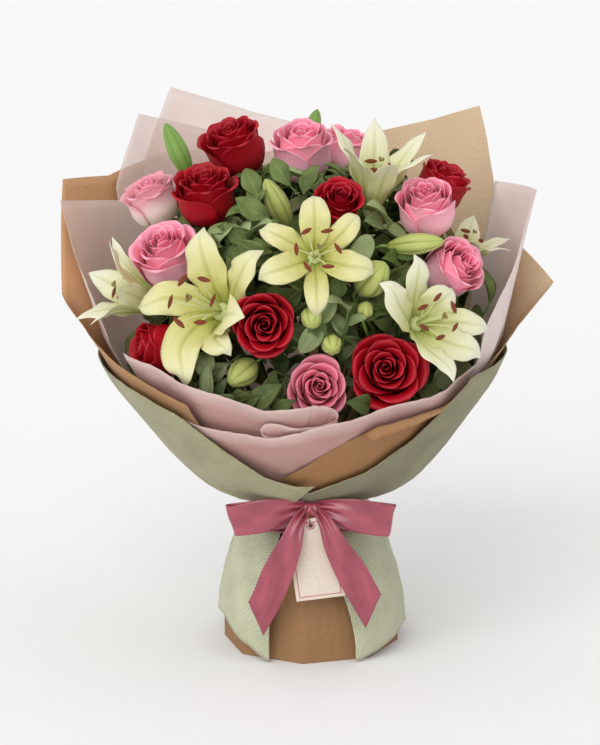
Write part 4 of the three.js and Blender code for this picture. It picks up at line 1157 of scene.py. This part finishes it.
def fillingSites(chance):
    # Places on the dome by the golden angle, then along the collar, each with the way out of the bouquet.
    sites = []
    lowest, highest = filling["rise"]
    for count, depth in filling["depths"]:
        for k in range(count):
            rise = lowest + (highest - lowest) * (k + 0.5) / count
            around = k * filling["goldenAngle"] * degree
            level = math.sqrt(1 - rise * rise)
            out = np.array([level * math.sin(around), -level * math.cos(around), rise])
            reach = np.array(filling["reach"]) * depth * chance.uniform(0.92, 1.02)
            sites.append((np.array(filling["middle"]) + out * reach, out))
    for angle in np.arange(*filling["collar"]):
        if filling["collarGap"][0] < angle < filling["collarGap"][1]:
            continue
        away = np.array([math.sin(angle * degree), -math.cos(angle * degree), 0.35])
        place = away * filling["collarRadius"] * chance.uniform(0.93, 1.02)
        place[0] += filling["collarAside"]
        place[2] = filling["collarHeight"] + filling["collarRise"] * angle * angle + chance.uniform(-6, 6)
        sites.append((place, unit(away)))
    return sites


def hidesBud(points):
    # Whether one of a leaf's points stands before a bud, seen from the bouquet's front.
    for _, at, face, length, width, _ in budData:
        for share in (0.15, 0.5, 0.85):
            away = points - (np.array(at, float) + unit(np.array(face, float)) * length * share)
            ahead = away @ filling["front"]
            off = np.linalg.norm(away - ahead[:, None] * filling["front"], axis=1)
            if ((ahead > 0) & (off < width * 0.5)).any():
                return True
    return False


def leafIsClear(skin, root, tip, side, up, width):
    # Whether a leaf hides no bud, pierces nothing and keeps its distance, its arch included.
    reach = tip - root
    arch = up * np.linalg.norm(reach) * leaf["arch"]
    seen = [root + reach * share + side * way * width
            for share in (0.1, 0.35, 0.6, 0.85, 1.0) for way in (-0.3, 0, 0.3)]
    if hidesBud(np.array(seen)):
        return False
    hit = skin.ray_cast(Vector(root * mm), Vector(unit(reach)), np.linalg.norm(reach) * mm)
    if hit[0] is not None:
        return False
    for share, part in ((0.3, 0.45), (0.55, 0.45), (0.8, 0.3), (1.0, 0)):
        for way in (-1, 0, 1):
            point = root + reach * share + side * way * part * width + arch * math.sin(share * math.pi)
            if gapTo(skin, point) < filling["clear"] * mm:
                return False
    return True


def nearestStem(place):
    # The stem that a twig for this place starts from, and its point there.
    low, best = filling["twigReach"]
    owner, root = None, None
    for name, line in stemLines.items():
        away = np.linalg.norm(line - place, axis=1)
        away[(away < low) | (line[:, 2] > place[2] + 4) | (line[:, 2] < filling["lowestRoot"])] = 1e9
        if away.min() < best:
            best, owner, root = away.min(), name, line[int(away.argmin())]
    return owner, root


def planTwigs():
    # For each stem: the lines of its side twigs, and their leaves by kind.
    chance = np.random.default_rng(filling["seed"])
    skin = solidSkin([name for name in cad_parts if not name.endswith("_stem")])
    found = {name: {"lines": [], "rose": [], "gum": [], "dark": []} for name in stemLines}
    for place, out in fillingSites(chance):
        kind = filling["kinds"][int(chance.integers(5))]
        around = unit(np.cross(out, chance.normal(size=3)))
        owner, root = nearestStem(place)
        if owner is None or gapTo(skin, place) < filling["clear"] * mm:
            continue
        leaves = []
        for k, back in enumerate(filling["leafBack"]):
            start = place + (root - place) * back
            length = chance.uniform(*filling["leafLength"]) * filling["leafScale"][k]
            for attempt in range(filling["tries"]):
                spin = rotation(k * 2.2 + attempt * 0.9, Vector(out))
                way = unit(0.42 * out * chance.uniform(0.2, 1.3) + spin @ around)
                side = unit(np.cross(way, out))
                tip = start + way * length
                if leafIsClear(skin, start, tip, side, np.cross(side, way), length * filling["leafShare"]):
                    leaves.append((start, tip, out + 0.2 * chance.normal(size=3)))
                    break
        if leaves:
            found[owner]["lines"].append(smoothLine([root, (root + place) / 2 - out * 5, place], 9))
            found[owner][kind] += leaves
    return found


twigs = planTwigs()
print("twigs are planned:", sum(len(t["lines"]) for t in twigs.values()),
      "with leaves:", sum(len(t[k]) for t in twigs.values() for k in leafKinds))


def twigRods(name):
    return [(twig, stemRadius["twig"]) for twig in twigs[name]["lines"]]


def addTwigLeaves(batch, name, firstFinish):
    for k, kind in enumerate(leafKinds):
        addLeaves(batch, twigs[name][kind], kind, filling["leafShare"], firstFinish + k)


def stalkOf(name, line, base, into):
    # A bud's stalk: of the places where it may join the stem, the one that the solid's own stalk runs to.
    skin = solidSkin([name + "_stem"])
    paths = [smoothLine([base + 3 * into, base - 9 * into, line[int(share * (len(line) - 1))]], 9)
             for share in np.linspace(0.03, 0.34, 32)]
    return min(paths, key=lambda path: sum(gapTo(skin, p) for p in path))


def makeStem(name, kind, seat=None):
    # A rose's stem ends in its cup and carries its leaves; a lily's carries its buds.
    batch = Batch()
    line = stemLines[name]
    knots = 0.86 + 0.14 * np.cos(np.linspace(0, 1, len(line)) * 40) ** 8
    rods = [(line, stemRadius[kind] * knots), *twigRods(name)]
    for on, at, face, length, width, look in budData:
        if on == name:
            stalk = stalkOf(name, line, np.array(at, float), unit(np.array(face, float)))
            rods.append((stalk, stemRadius["bud"]))
            addBud(batch, at, face, length, width, 1 if look == "bud" else 5)
    green = "stem" if kind == "rose" else "lilyStem"
    addRods(batch, rods, green)
    addTwigLeaves(batch, name, 2)
    if seat:
        addCup(batch, seat, 0)
        reach, drop = cup["sepalTip"]
        tips = [seat.put([reach * math.cos(a * degree), reach * math.sin(a * degree), drop])
                for a in cup["sepalTurns"]]
        leaves = leafRoots(name + "_stem", line, roseLeaf, tips)
        addLeaves(batch, leaves, "rose", roseLeaf["width"] / roseLeaf["length"], 2)
    materials = [green, "bud", "roseLeaf", "gumLeaf", "darkLeaf", "budGreen"]
    finishPiece(name + "_stem_green", batch, materials, [name + "_stem"])


for name, look, at, face, size, opening, spin in roseData:
    makeStem(name, "rose", roseSeat(at, face, size, spin))
for row in lilyData:
    makeStem(row[0], "lily")
print("stems, cups and buds are made")


def makeSpray(name, kind, length, width):
    batch = Batch()
    line = stemLines[name]
    taper = np.linspace(1.1, stemRadius["spray"], len(line))
    addRods(batch, [(line, taper), *twigRods(name)], "stem", sides=7)
    leaves = leafRoots(name, line, {"length": length, "width": width}, [])
    addLeaves(batch, leaves, kind, width / length, 1 + list(leafKinds).index(kind))
    addTwigLeaves(batch, name, 1)
    finishPiece(name + "_leaves", batch, ["stem", "roseLeaf", "gumLeaf", "darkLeaf"], [name])
    return len(leaves)


for name, kind, tip, length, width in sprayData:
    print(name, "leaves:", makeSpray(name, kind, length, width))
print("sprays are made")

# The wrap: a bowl's outline as radius and height, with its axis drifting aside as it climbs.
bowlCurve = [(46, 146), (84, 154), (108, 168), (131, 192), (149, 215), (167, 239), (185, 264), (196, 286),
             (201, 296)]
wrap = {
    "axisX": -9, "rimZ": 296, "flareStep": 220, "column": 12, "finer": 8, "rows": 40, "rollRows": 10,
    "rollTube": (3.4, 0.14), "thickness": 0.35, "gather": 0.4, "wave": 2, "waves": 4, "waveTurn": 0.8,
    "waveFrom": 250, "waveRun": 120,
}
skirtProfile = [(0, 89), (20, 90), (50, 88), (75, 83), (96, 77), (116, 68), (134, 57), (146, 46)]
bowlLine = evenly(smoothLine(bowlCurve, 800, False), 401)
bowlRun = unit(np.gradient(bowlLine, axis=0))
bowlShare = np.linspace(0, 1, 401)
# How fast the sheets go on outwards above the bowl's rim, by the angle from the front.
flares = [(-180, 0.14), (-135, 0.15), (-96, 0.24), (-60, 0.2), (60, 0.2), (96, 0.21), (132, 0.23),
          (156, 0.14)]


def climbTo(height):
    # How far up the wrap a height is: 1 at the bowl's rim.
    above = 1 + (height - wrap["rimZ"]) / wrap["flareStep"]
    return np.where(height > wrap["rimZ"], above, np.interp(height, bowlLine[:, 1], bowlShare))


def wrapRing(angle, climb, inset, flap=0.0):
    # Radius, height and the axis's drift at an angle from the front and a climb.
    share = np.minimum(climb, 1)
    radius, height, runX, runY = (np.interp(share, bowlShare, v) for v in (*bowlLine.T, *bowlRun.T))
    above = np.maximum(climb - 1, 0) * wrap["flareStep"]
    radius = radius - runY * inset + above * (np.interp(angle, *zip(*flares)) + flap)
    return radius, height + runX * inset + above, wrap["axisX"] * share


def ringPoint(angle, radius, height, drift):
    return np.stack([drift + radius * np.sin(angle * degree), -radius * np.cos(angle * degree), height], -1)


def ridges(across, along, chance, count, sharp):
    # Soft creases in random directions, between -1 and 1.
    total = np.zeros(np.broadcast_shapes(across.shape, along.shape))
    for _ in range(count):
        turn, pitch, phase = chance.uniform(0, np.pi), chance.uniform(14, 60), chance.uniform(0, 9)
        wave = np.sin((across * math.cos(turn) + along * math.sin(turn)) / pitch * 6.28 + phase)
        total = total + (1 - 2 * np.abs(wave) ** sharp)
    return total / count


# Sheets: the inset from the outermost wrap, a flap that turns outwards as angle, width and slope, the top
# edge as the angle of its start and a height for every column from there on, edge rolls as the angles of
# their start and end and a length, and a pleat as angle, height and how far out.
sheetPlain = {
    "flap": (0, 1, 0), "finish": "tissueGrey", "slot": "tissue", "crumple": 0.6, "ruffle": 1, "bulge": 0,
    "rolls": [], "pleat": [],
}
kraftPlain = {"finish": "kraft", "slot": "kraft", "crumple": 0.5, "ruffle": 0.5}
frontPlain = {"finish": "tissue", "crumple": 1.25, "ruffle": 1.6}
sheetData = {
    "kraft_sheet_left": {
        **kraftPlain, "inset": 5.6, "flap": (-92, 19, 0.85), "from": -192,
        "rim": [444, 446, 448, 452, 456, 447, 438, 439, 335, 314, 299, 286, 276, 262],
    },
    "kraft_sheet_right": {
        **kraftPlain, "inset": 8.2, "flap": (92, 18, 1), "finish": "kraftPaintedLit", "from": -12,
        "rim": [182, 200, 222, 240, 245, 250, 264, 286, 312, 345, 376, 418, 500, 484, 472, 460, 453, 446],
        "rolls": [(19, 58, 19)],
    },
    "tissue_back_outer": {"inset": 10.6, "ruffle": 0.8, "from": -180, "rim": [474, 486, 501, 516, 444]},
    "tissue_back_inner": {"inset": 12.8, "ruffle": 0.8, "from": -156, "rim": [468, 481, 492, 424]},
    "tissue_left": {
        "inset": 15, "flap": (-96, 24, 0.12), "from": -132, "rim": [406, 410, 415, 421, 352, 306],
    },
    "tissue_right": {
        "inset": 11.8, "finish": "tissueBlush", "from": 60, "rim": [318, 368, 438, 435, 432, 430],
    },
    "tissue_front_left": {
        **frontPlain, "inset": 14, "from": -60, "rim": [298, 290, 279, 268, 258, 259],
        "pleat": [(4, 262, 0), (8.5, 261, 0.6), (10.6, 255, 1.8), (10, 248, 2.8), (6, 244.5, 3.2),
                  (0, 243, 3.2), (-4, 243.5, 3.4), (-8, 246, 3.8), (-12, 245.5, 4.4), (-14, 240, 5.2),
                  (-12.5, 234, 6), (-6, 231, 6), (2, 229, 6)],
    },
    "tissue_front_right": {
        **frontPlain, "inset": 11.2, "from": -48, "rim": [246, 238, 232, 231, 238, 249, 257, 263, 270, 288],
        "bulge": 7.5,
    },
}


def crumpled(grid, chance, amount, ruffle, gather):
    # Moves a sheet's points along its normals: creases all over, a loose upper edge and pleats at the neck.
    across, along = np.moveaxis(flatUv(grid), -1, 0)
    s = np.linspace(0, 1, len(grid))[:, None]
    crease = ridges(across, along, chance, 6, 0.8) * amount
    edge = np.sin(across / chance.uniform(11, 16) + chance.uniform(0, 6)) * ruffle * s ** 5
    pleat = np.sin(across / 1.6 + 2 * np.sin(across / 9)) * gather * (1 - s) ** 6
    return grid + gridNormals(grid) * (crease * np.clip(s * 4, 0.2, 1) + edge + pleat)[..., None]


def rolledEdge(grid, angle, rolls):
    # More rows past the top edge, which wind outwards into a roll. It starts at once and runs out slowly.
    length = 0 * angle
    for start, end, size in rolls:
        share = np.clip((angle - start) / (end - start), 0, 1)
        length = length + size * np.minimum(1, share * 16) * (1 - share) ** 0.6
    along = unit(grid[-1] - grid[-3])
    outward = unit(ringPoint(angle, 1.0, 0.3 + 0 * angle, 0 * angle))
    outward = unit(outward - along * (outward * along).sum(1)[:, None])
    narrowest, widening = wrap["rollTube"]
    tube = narrowest + length * widening
    rows = [grid]
    for k in range(1, wrap["rollRows"] + 1):
        bend = (length * k / wrap["rollRows"] + 0.04 * k) / tube
        rise, out = tube * np.sin(bend), tube * (1 - np.cos(bend))
        rows.append((grid[-1] + along * rise[:, None] + outward * out[:, None])[None])
    return np.concatenate(rows)


def pleatColumns(look, s):
    # More columns past the sheet's end, where it turns back on itself and back again.
    last = look["from"] + wrap["column"] * (len(look["rim"]) - 1)
    around, top, out = evenly(smoothLine([(last, look["rim"][-1], 0), *look["pleat"]], 900), 110)[1:].T
    share = s + (0.55 + 0.45 * s - s) * np.minimum(1, np.arange(len(around)) / 14)
    inset = look["inset"] - out * np.clip((share - 0.6) / 0.3, 0, 1)
    return ringPoint(around + 0 * share, *wrapRing(around + 0 * share, climbTo(top) * share, inset))


def makeSheet(name, look):
    # The sheet runs evenly from column to column of its solid, so that it stays where the solid is.
    chance = chanceFor(name)
    columns = look["from"] + wrap["column"] * np.arange(len(look["rim"]))
    at, width, slope = look["flap"]
    flap = slope * np.maximum(0, 1 - np.abs(columns - at) / width)
    s = np.linspace(0, 1, wrap["rows"])[:, None]
    rings = wrapRing(columns[None, :], climbTo(np.array(look["rim"], float)) * s, look["inset"], flap)
    place = np.linspace(0, len(columns) - 1, (len(columns) - 1) * wrap["finer"] + 1)
    angle = np.interp(place, range(len(columns)), columns)
    before = np.minimum(place.astype(int), len(columns) - 2)
    share = place - before
    radius, height, drift = (r[:, before] * (1 - share) + r[:, before + 1] * share for r in rings)
    wave = np.sin(angle * wrap["waves"] * degree + wrap["waveTurn"])
    radius = radius + wrap["wave"] * wave * np.clip((height - wrap["waveFrom"]) / wrap["waveRun"], 0, 1)
    radius = radius + look["bulge"] * np.clip((s - 0.66) / 0.25, 0, 1) * np.clip((22 - angle) / 12, 0, 1)
    grid = ringPoint(angle, radius, height, drift)
    if look["pleat"]:
        grid = np.concatenate([grid, pleatColumns(look, s)], axis=1)
    grid = crumpled(grid, chance, look["crumple"], look["ruffle"], wrap["gather"])
    if look["rolls"]:
        grid = rolledEdge(grid, angle, look["rolls"])
    batch = Batch()
    batch.addShell(grid * mm, wrap["thickness"] * mm)
    finishPiece(name + "_paper", batch, [look["finish"]], [name])


for name, look in sheetData.items():
    makeSheet(name, {**sheetPlain, **look})
print("paper and tissue are made:", len(sheetData))

# The woven cloth: it starts at an angle from the front and runs on once round, over its own start. Its top
# edge is the run in degrees and the height there; its hem is open at the front between two angles.
cloth = {
    "turn": 3, "span": 370, "slant": 30, "hemOpen": (-26, 28), "lap": 3.4, "thickness": 0.9, "flutes": 1.6,
    "columns": 300, "skirtRows": 26, "bowlRows": 30, "seed": 21,
    "hem": [(0, 1.2), (0.14, 34), (0.5, 24), (0.86, 19), (1, 1.2)], "flat": (0.59, 0.36), "neck": (142, 14),
    "top": [(0, 184), (8, 183), (20, 192), (32, 218), (44, 254), (56, 268), (68, 276), (92, 286),
            (188, 292), (278, 290), (308, 284), (314, 264), (323, 226), (338, 194), (349, 184), (362, 172),
            (374, 166)],
}


def makeCloth():
    chance = np.random.default_rng(cloth["seed"])
    s = np.linspace(0, 1, cloth["columns"])[None, :]
    level = np.linspace(0, 1, cloth["skirtRows"])[:, None]
    hem = np.interp(s, *zip(*cloth["hem"]))
    height = hem + (skirtProfile[-1][0] - hem) * level
    low = cloth["hemOpen"][0] + (cloth["hemOpen"][1] - 360 - cloth["hemOpen"][0]) * s
    slant = cloth["slant"] * np.maximum(0, 1 - s / 0.06)
    high = cloth["turn"] - cloth["span"] * s - slant
    angle = low + (high - low) * level ** 2
    flute = (0.5 + 0.5 * np.sin(s * 62 + 3 * np.sin(s * 17))) * cloth["flutes"] * (1 - level) ** 0.6
    radius = np.interp(height, *zip(*skirtProfile)) + 0.6 - cloth["lap"] * s * level + flute
    skirt = ringPoint(angle, radius, height, 0 * radius)
    rise = np.linspace(0, 1, cloth["bowlRows"])[1:, None]
    climb = climbTo(np.interp(s * cloth["span"], *zip(*cloth["top"]))) * rise
    around = high + slant * rise
    bowl = ringPoint(around, *wrapRing(around, climb, cloth["lap"] * s + 0 * rise))
    grid = np.concatenate([skirt, bowl])
    across, along = np.moveaxis(flatUv(grid), -1, 0)
    wobble = ridges(across, along, chance, 4, 1.2) * 0.5
    neck = np.exp(-((grid[..., 2] - cloth["neck"][0]) / cloth["neck"][1]) ** 2)
    pleat = np.sin(across / 1.9 + 2 * np.sin(across / 11)) * 0.5 * neck
    grid = grid + gridNormals(grid) * (wobble + pleat)[..., None]
    batch = Batch()
    batch.addShell(grid * mm, cloth["thickness"] * mm)
    piece = finishPiece("jute_wrap_cloth", batch, ["jute"], ["jute_wrap"])


makeCloth()

# The folded paper cup under the tie: its outline as radius and height, and how many folds it has.
foot = {
    "profile": [(84, 0.3), (83.9, 10), (82.5, 50), (72, 92), (60, 116)], "folds": 8, "columns": 240,
    "floor": 1.2, "foldTurn": 0.12, "swell": 1.2, "inside": 0.985, "dent": 0.6, "seed": 31,
}


def makeFoot():
    chance = np.random.default_rng(foot["seed"])
    outer = smoothLine(foot["profile"], 40)
    a = roundAngles(foot["columns"])
    s = np.linspace(0, 1, 40)[:, None]
    fold = 2 * np.pi / foot["folds"]
    flatness = np.cos(np.mod(a / fold + foot["foldTurn"], 1) * fold - fold / 2)
    flatness = flatness[None, :] / flatness.min()
    dent = ridges(a[None, :] * 84, s * 120, chance, 5, 0.9) * foot["dent"]
    radius = (outer[:, :1] + foot["swell"]) / flatness + dent * np.clip(s * 5, 0, 1)
    skin = np.stack([radius * np.sin(a), -radius * np.cos(a), np.repeat(outer[:, 1:], len(a), 1)], -1)
    inside = skin[::-1] * [foot["inside"], foot["inside"], 1]
    inside[..., 2] = np.maximum(inside[..., 2], foot["floor"])
    under = [skin[:1] * [share, share, 0] for share in (0.02, 0.5, 0.97)]
    floor = [inside[-1:] * [share, share, 1] for share in (0.5, 0.02)]
    grid = np.concatenate([*under, skin, inside, *floor])
    batch = Batch()
    uv = np.stack(np.broadcast_arrays((a * 84 * mm)[None, :], np.linspace(0, 0.3, len(grid))[:, None]), -1)
    batch.addSkin(grid[:, ::-1] * mm, uv)
    finishPiece("kraft_foot_paper", batch, ["kraft"], ["kraft_foot"])


makeFoot()
print("foot and cloth are made")

ribbon = {"thickness": 0.45, "bandTop": 144, "bandBottom": 122, "columns": 17}


def addRibbon(batch, stations, rows, pleats, chance, wave=0.0, cut=0.0, twoEnds=False):
    # A strip through (x, y, z, width, lean). It is gathered into pleats that run out from the knot, and its
    # far end may be cut aslant, so that its outer edge is shorter.
    line = evenly(smoothLine(stations, rows * 6), rows * 4)
    run = runAlong(line)
    lean = line[:, 4] * degree
    across = np.stack([np.sin(lean), 0 * lean, np.cos(lean)], -1)
    normal = unit(np.cross(across, unit(np.gradient(line[:, :3], axis=0))))
    u = np.linspace(-1, 1, ribbon["columns"])[None, :]
    at = np.linspace(0, 1, rows)[:, None] * (run[-1] - cut * (1 + u) / 2)
    middle, across, normal = (sampled(at, run, values) for values in (line[:, :3], across, normal))
    width = np.interp(at, run, line[:, 3])
    far = np.minimum(at, run[-1] - at) if twoEnds else at
    depth = pleats * (np.exp(-(far / 20) ** 2) + 0.4 * np.exp(-far / 30))
    fold = depth * np.sin(u * 7 + chance.uniform(0, 6) + far * 0.02) + 0.9 * np.sin(u * 2.4 + 0.4)
    sway = wave * np.sin(at / 18 + chance.uniform(0, 6))
    grid = middle + across * (width / 2 * u)[..., None] + normal * (fold + sway)[..., None]
    batch.addShell(grid * mm, ribbon["thickness"] * mm, flatUv(grid * mm)[..., ::-1])
    return run[-1] * mm


def mirrored(stations, side):
    return [(side * x, y, z, width, side * lean) for x, y, z, width, lean in stations]


# The bow: every strip's middle line in millimetres, with the strip's width and lean there.
bow = {
    "loop": [(2, -95, 156, 9, 0), (15, -102, 157, 18, 8), (42, -107, 152, 31, 13), (70, -101, 145, 30, 14),
             (76, -94, 144, 30, 14), (70, -88, 144, 30, 14), (42, -92, 148, 30, 10), (15, -92, 155, 17, 6),
             (2, -91, 156, 9, 0)],
    "tailLeft": [(4, -102, 157, 9, 62), (12, -112, 147, 14, 55), (19, -117, 128, 22, 60),
                 (31, -113, 99, 29, 64), (43, -104, 67, 29, 64), (58, -95, 38, 29, 60)],
    "tailRight": [(4, -102, 157, 9, 62), (13, -112, 146, 14, 52), (22, -117, 127, 22, 58),
                  (37, -112, 99, 29, 60), (51, -103, 71, 29, 64), (64, -94, 46, 29, 64)],
    "arm": [(1, -88, 152, 12, 0), (22, -80, 142, 18, 0), (40, -63, 137, 22, 0), (54, -44, 134, 22, 0)],
    "knot": (11, 8.5, 8), "knotAt": (0, -96, 154), "flat": (0.03, 0.697), "cut": 26,
    "seed": 41,
}


def makeBow():
    chance = np.random.default_rng(bow["seed"])
    batch = Batch()
    total = 0
    for side, tail in ((-1, "tailLeft"), (1, "tailRight")):
        total += addRibbon(batch, mirrored(bow["loop"], side), 90, 2.2, chance, twoEnds=True)
        total += addRibbon(batch, mirrored(bow[tail], side), 60, 2.2, chance, 0.8, bow["cut"])
        total += addRibbon(batch, mirrored(bow["arm"], side), 24, 1.4, chance)
    a = roundAngles(48)[None, :]
    t = np.linspace(0.03, 0.97, 22)[:, None]
    wide, deep, tall = bow["knot"]
    swell = np.sin(np.pi * t) ** 0.55 * (1 + 0.07 * np.sin(a * 9 + 2 * np.sin(6 * t)))
    level = tall * np.cos(np.pi * (1 - t)) + 0 * a
    knot = np.stack([wide * swell * np.cos(a), deep * swell * np.sin(a), level], -1)
    batch.addSkin((knot + bow["knotAt"]) * mm, np.stack(np.broadcast_arrays(a * 0.009, t * 0.02), -1))
    piece = finishPiece("ribbon_bow_satin", batch, ["satin"], ["ribbon_bow"])
    print("ribbon in the bow:", round(total, 3))


def makeBand():
    # Once round the neck, its ends meeting behind.
    angle = np.linspace(-181, 181, 200)[None, :]
    heights = np.linspace(ribbon["bandBottom"], ribbon["bandTop"], 12)[:, None]
    ripple = 0.25 * np.sin(heights * 1.1 + 2 * np.sin(angle * 3 * degree))
    radius = np.interp(heights, *zip(*skirtProfile)) + 2.4 + ripple
    grid = ringPoint(angle + 0 * heights, radius + angle / 400, heights + 0 * angle, 0 * radius)
    batch = Batch()
    batch.addShell(grid * mm, ribbon["thickness"] * mm)
    piece = finishPiece("ribbon_band_satin", batch, ["satin"], ["ribbon_band"])


makeBow()
makeBand()

tag = {
    "width": 46, "height": 80, "thickness": 0.9, "hole": 2.2, "shoulder": 14, "holeDrop": 7,
    "at": (9, -101, 70), "tilt": 94, "turn": 7.6, "line": 0.7, "lineInset": 3.2, "eyelet": (3.4, 0.55),
}
tag["eyeHeight"] = tag["height"] - tag["holeDrop"]
tagTilt = Matrix.Rotation(tag["tilt"] * degree, 3, "X")
tagTurn = np.array(tagTilt @ Matrix.Rotation(tag["turn"] * degree, 3, "Z"))


def onTag(points):
    return np.asarray(points, float) @ tagTurn.T + tag["at"]


def tagOutline(inset):
    w, h, c = tag["width"] / 2 - inset, tag["height"], tag["shoulder"]
    slant = inset * math.tan(22.5 * degree)
    return [(-w, inset), (w, inset), (w, h - c - slant), (w - c + inset - slant, h - inset),
            (c - w - inset + slant, h - inset), (-w, h - c - slant)]


def makeCard():
    # A card with cut shoulders and a punched hole.
    hole = [(tag["hole"] * math.cos(a), tag["eyeHeight"] + tag["hole"] * math.sin(a))
            for a in roundAngles(24)]
    card = bmesh.new()
    rims = []
    for outline in (tagOutline(0), hole):
        corners = [card.verts.new((x, y, 0)) for x, y in outline]
        rims += [card.edges.new(pair) for pair in zip(corners, corners[1:] + corners[:1])]
    bmesh.ops.triangle_fill(card, use_beauty=True, use_dissolve=False, edges=rims)
    bmesh.ops.recalc_face_normals(card, faces=card.faces)
    thick = bmesh.ops.extrude_face_region(card, geom=list(card.faces))
    lifted = [v for v in thick["geom"] if isinstance(v, bmesh.types.BMVert)]
    bmesh.ops.translate(card, vec=(0, 0, tag["thickness"]), verts=lifted)
    bmesh.ops.recalc_face_normals(card, faces=card.faces)
    for vert in card.verts:
        vert.co = Vector(onTag(vert.co[:]) * mm)
    mesh = bpy.data.meshes.new("hang_tag_card")
    card.to_mesh(mesh)
    card.free()
    mesh.materials.append(finishes["card"])
    keepPiece("hang_tag_card", mesh, ["hang_tag"])


def makeCardLine():
    # A thin line inside the card's edge, and a ring round its hole.
    batch = Batch()
    inner = tag["lineInset"] + tag["line"]
    outlines = np.array([tagOutline(inset) for inset in (tag["lineInset"], tag["lineInset"], inner, inner)])
    lift = np.array([0, 0.2, 0.2, 0])[:, None, None] + tag["thickness"] - 0.05
    grid = onTag(np.concatenate([outlines, np.broadcast_to(lift, (4, 6, 1))], -1))
    batch.addSkin(grid * mm, ring=True)
    reach, tube = tag["eyelet"]
    a, b = roundAngles(40)[None, :], roundAngles(12)[:, None]
    wide = reach + tube * np.cos(b)
    level = tag["thickness"] + tube * 0.8 * np.sin(b) + 0 * a
    eyelet = np.stack([wide * np.cos(a), tag["eyeHeight"] + wide * np.sin(a), level], -1)
    batch.addSkin(onTag(eyelet) * mm, ring=True)
    finishPiece("hang_tag_line", batch, ["cardLine"], [])


# Cords: how many strands, how far they lie from the middle, how thick they are, and how far they wind.
cords = {
    "string": {"Strands": 3, "Offset": 0.00032, "Strand": 0.0003, "Turns": 60.0},
    "twine": {"Strands": 3, "Offset": 0.00055, "Strand": 0.0005, "Turns": 2 * math.pi * 24},
}
twineRing = {"radius": 36, "height": 156, "points": 160}


def makeCord(name, line, edges, finish, nodes):
    # A laid cord: thin strands that wind about its line.
    batch = Batch()
    inputs = {**cords[finish], "Finish": finishes[finish]}
    takeMesh(batch, grow(trees["cord"], line * mm, edges, {}, inputs))
    finishPiece(name, batch, [finish], nodes)


def makeStrings():
    # The string from behind the knot through the card's eye and back, and the twine round the stems.
    path = [(-3.6, -104, 153.5), onTag((-0.8, 82.6, 1.6)), onTag((-0.5, 77, 2.8)), onTag((0, 73, 2)),
            onTag((0, 73, -1.2)), (-1.5, -102.4, 144), (-0.5, -101.4, 142)]
    line = evenly(smoothLine(path, 200), 60)
    edges = [(i, i + 1) for i in range(len(line) - 1)]
    makeCord("tag_string_laid", line, edges, "string", ["tag_string"])
    a = roundAngles(twineRing["points"])
    ring = twineRing["radius"] * np.stack([np.cos(a), np.sin(a), 0 * a], -1) + [0, 0, twineRing["height"]]
    edges = [(i, (i + 1) % len(ring)) for i in range(len(ring))]
    makeCord("binding_twine_laid", ring, edges, "twine", ["binding_twine"])


makeCard()
makeCardLine()
makeStrings()
for template in templates.values():
    bpy.data.objects.remove(template)
print("bow, band, tag and strings are made")


def makeFloor():
    reach = light["floorReach"]
    corners = [(-reach, -reach, 0), (reach, -reach, 0), (reach, reach, 0), (-reach, reach, 0)]
    mesh = bpy.data.meshes.new("floor")
    mesh.from_pydata(corners, [], [(0, 1, 2, 3)])
    mesh.materials.append(Paint("paleFloor", 0.9, {"Base Color": (*light["floor"], 1)}).material)
    floor = addObject("floor", mesh)


makeFloor()
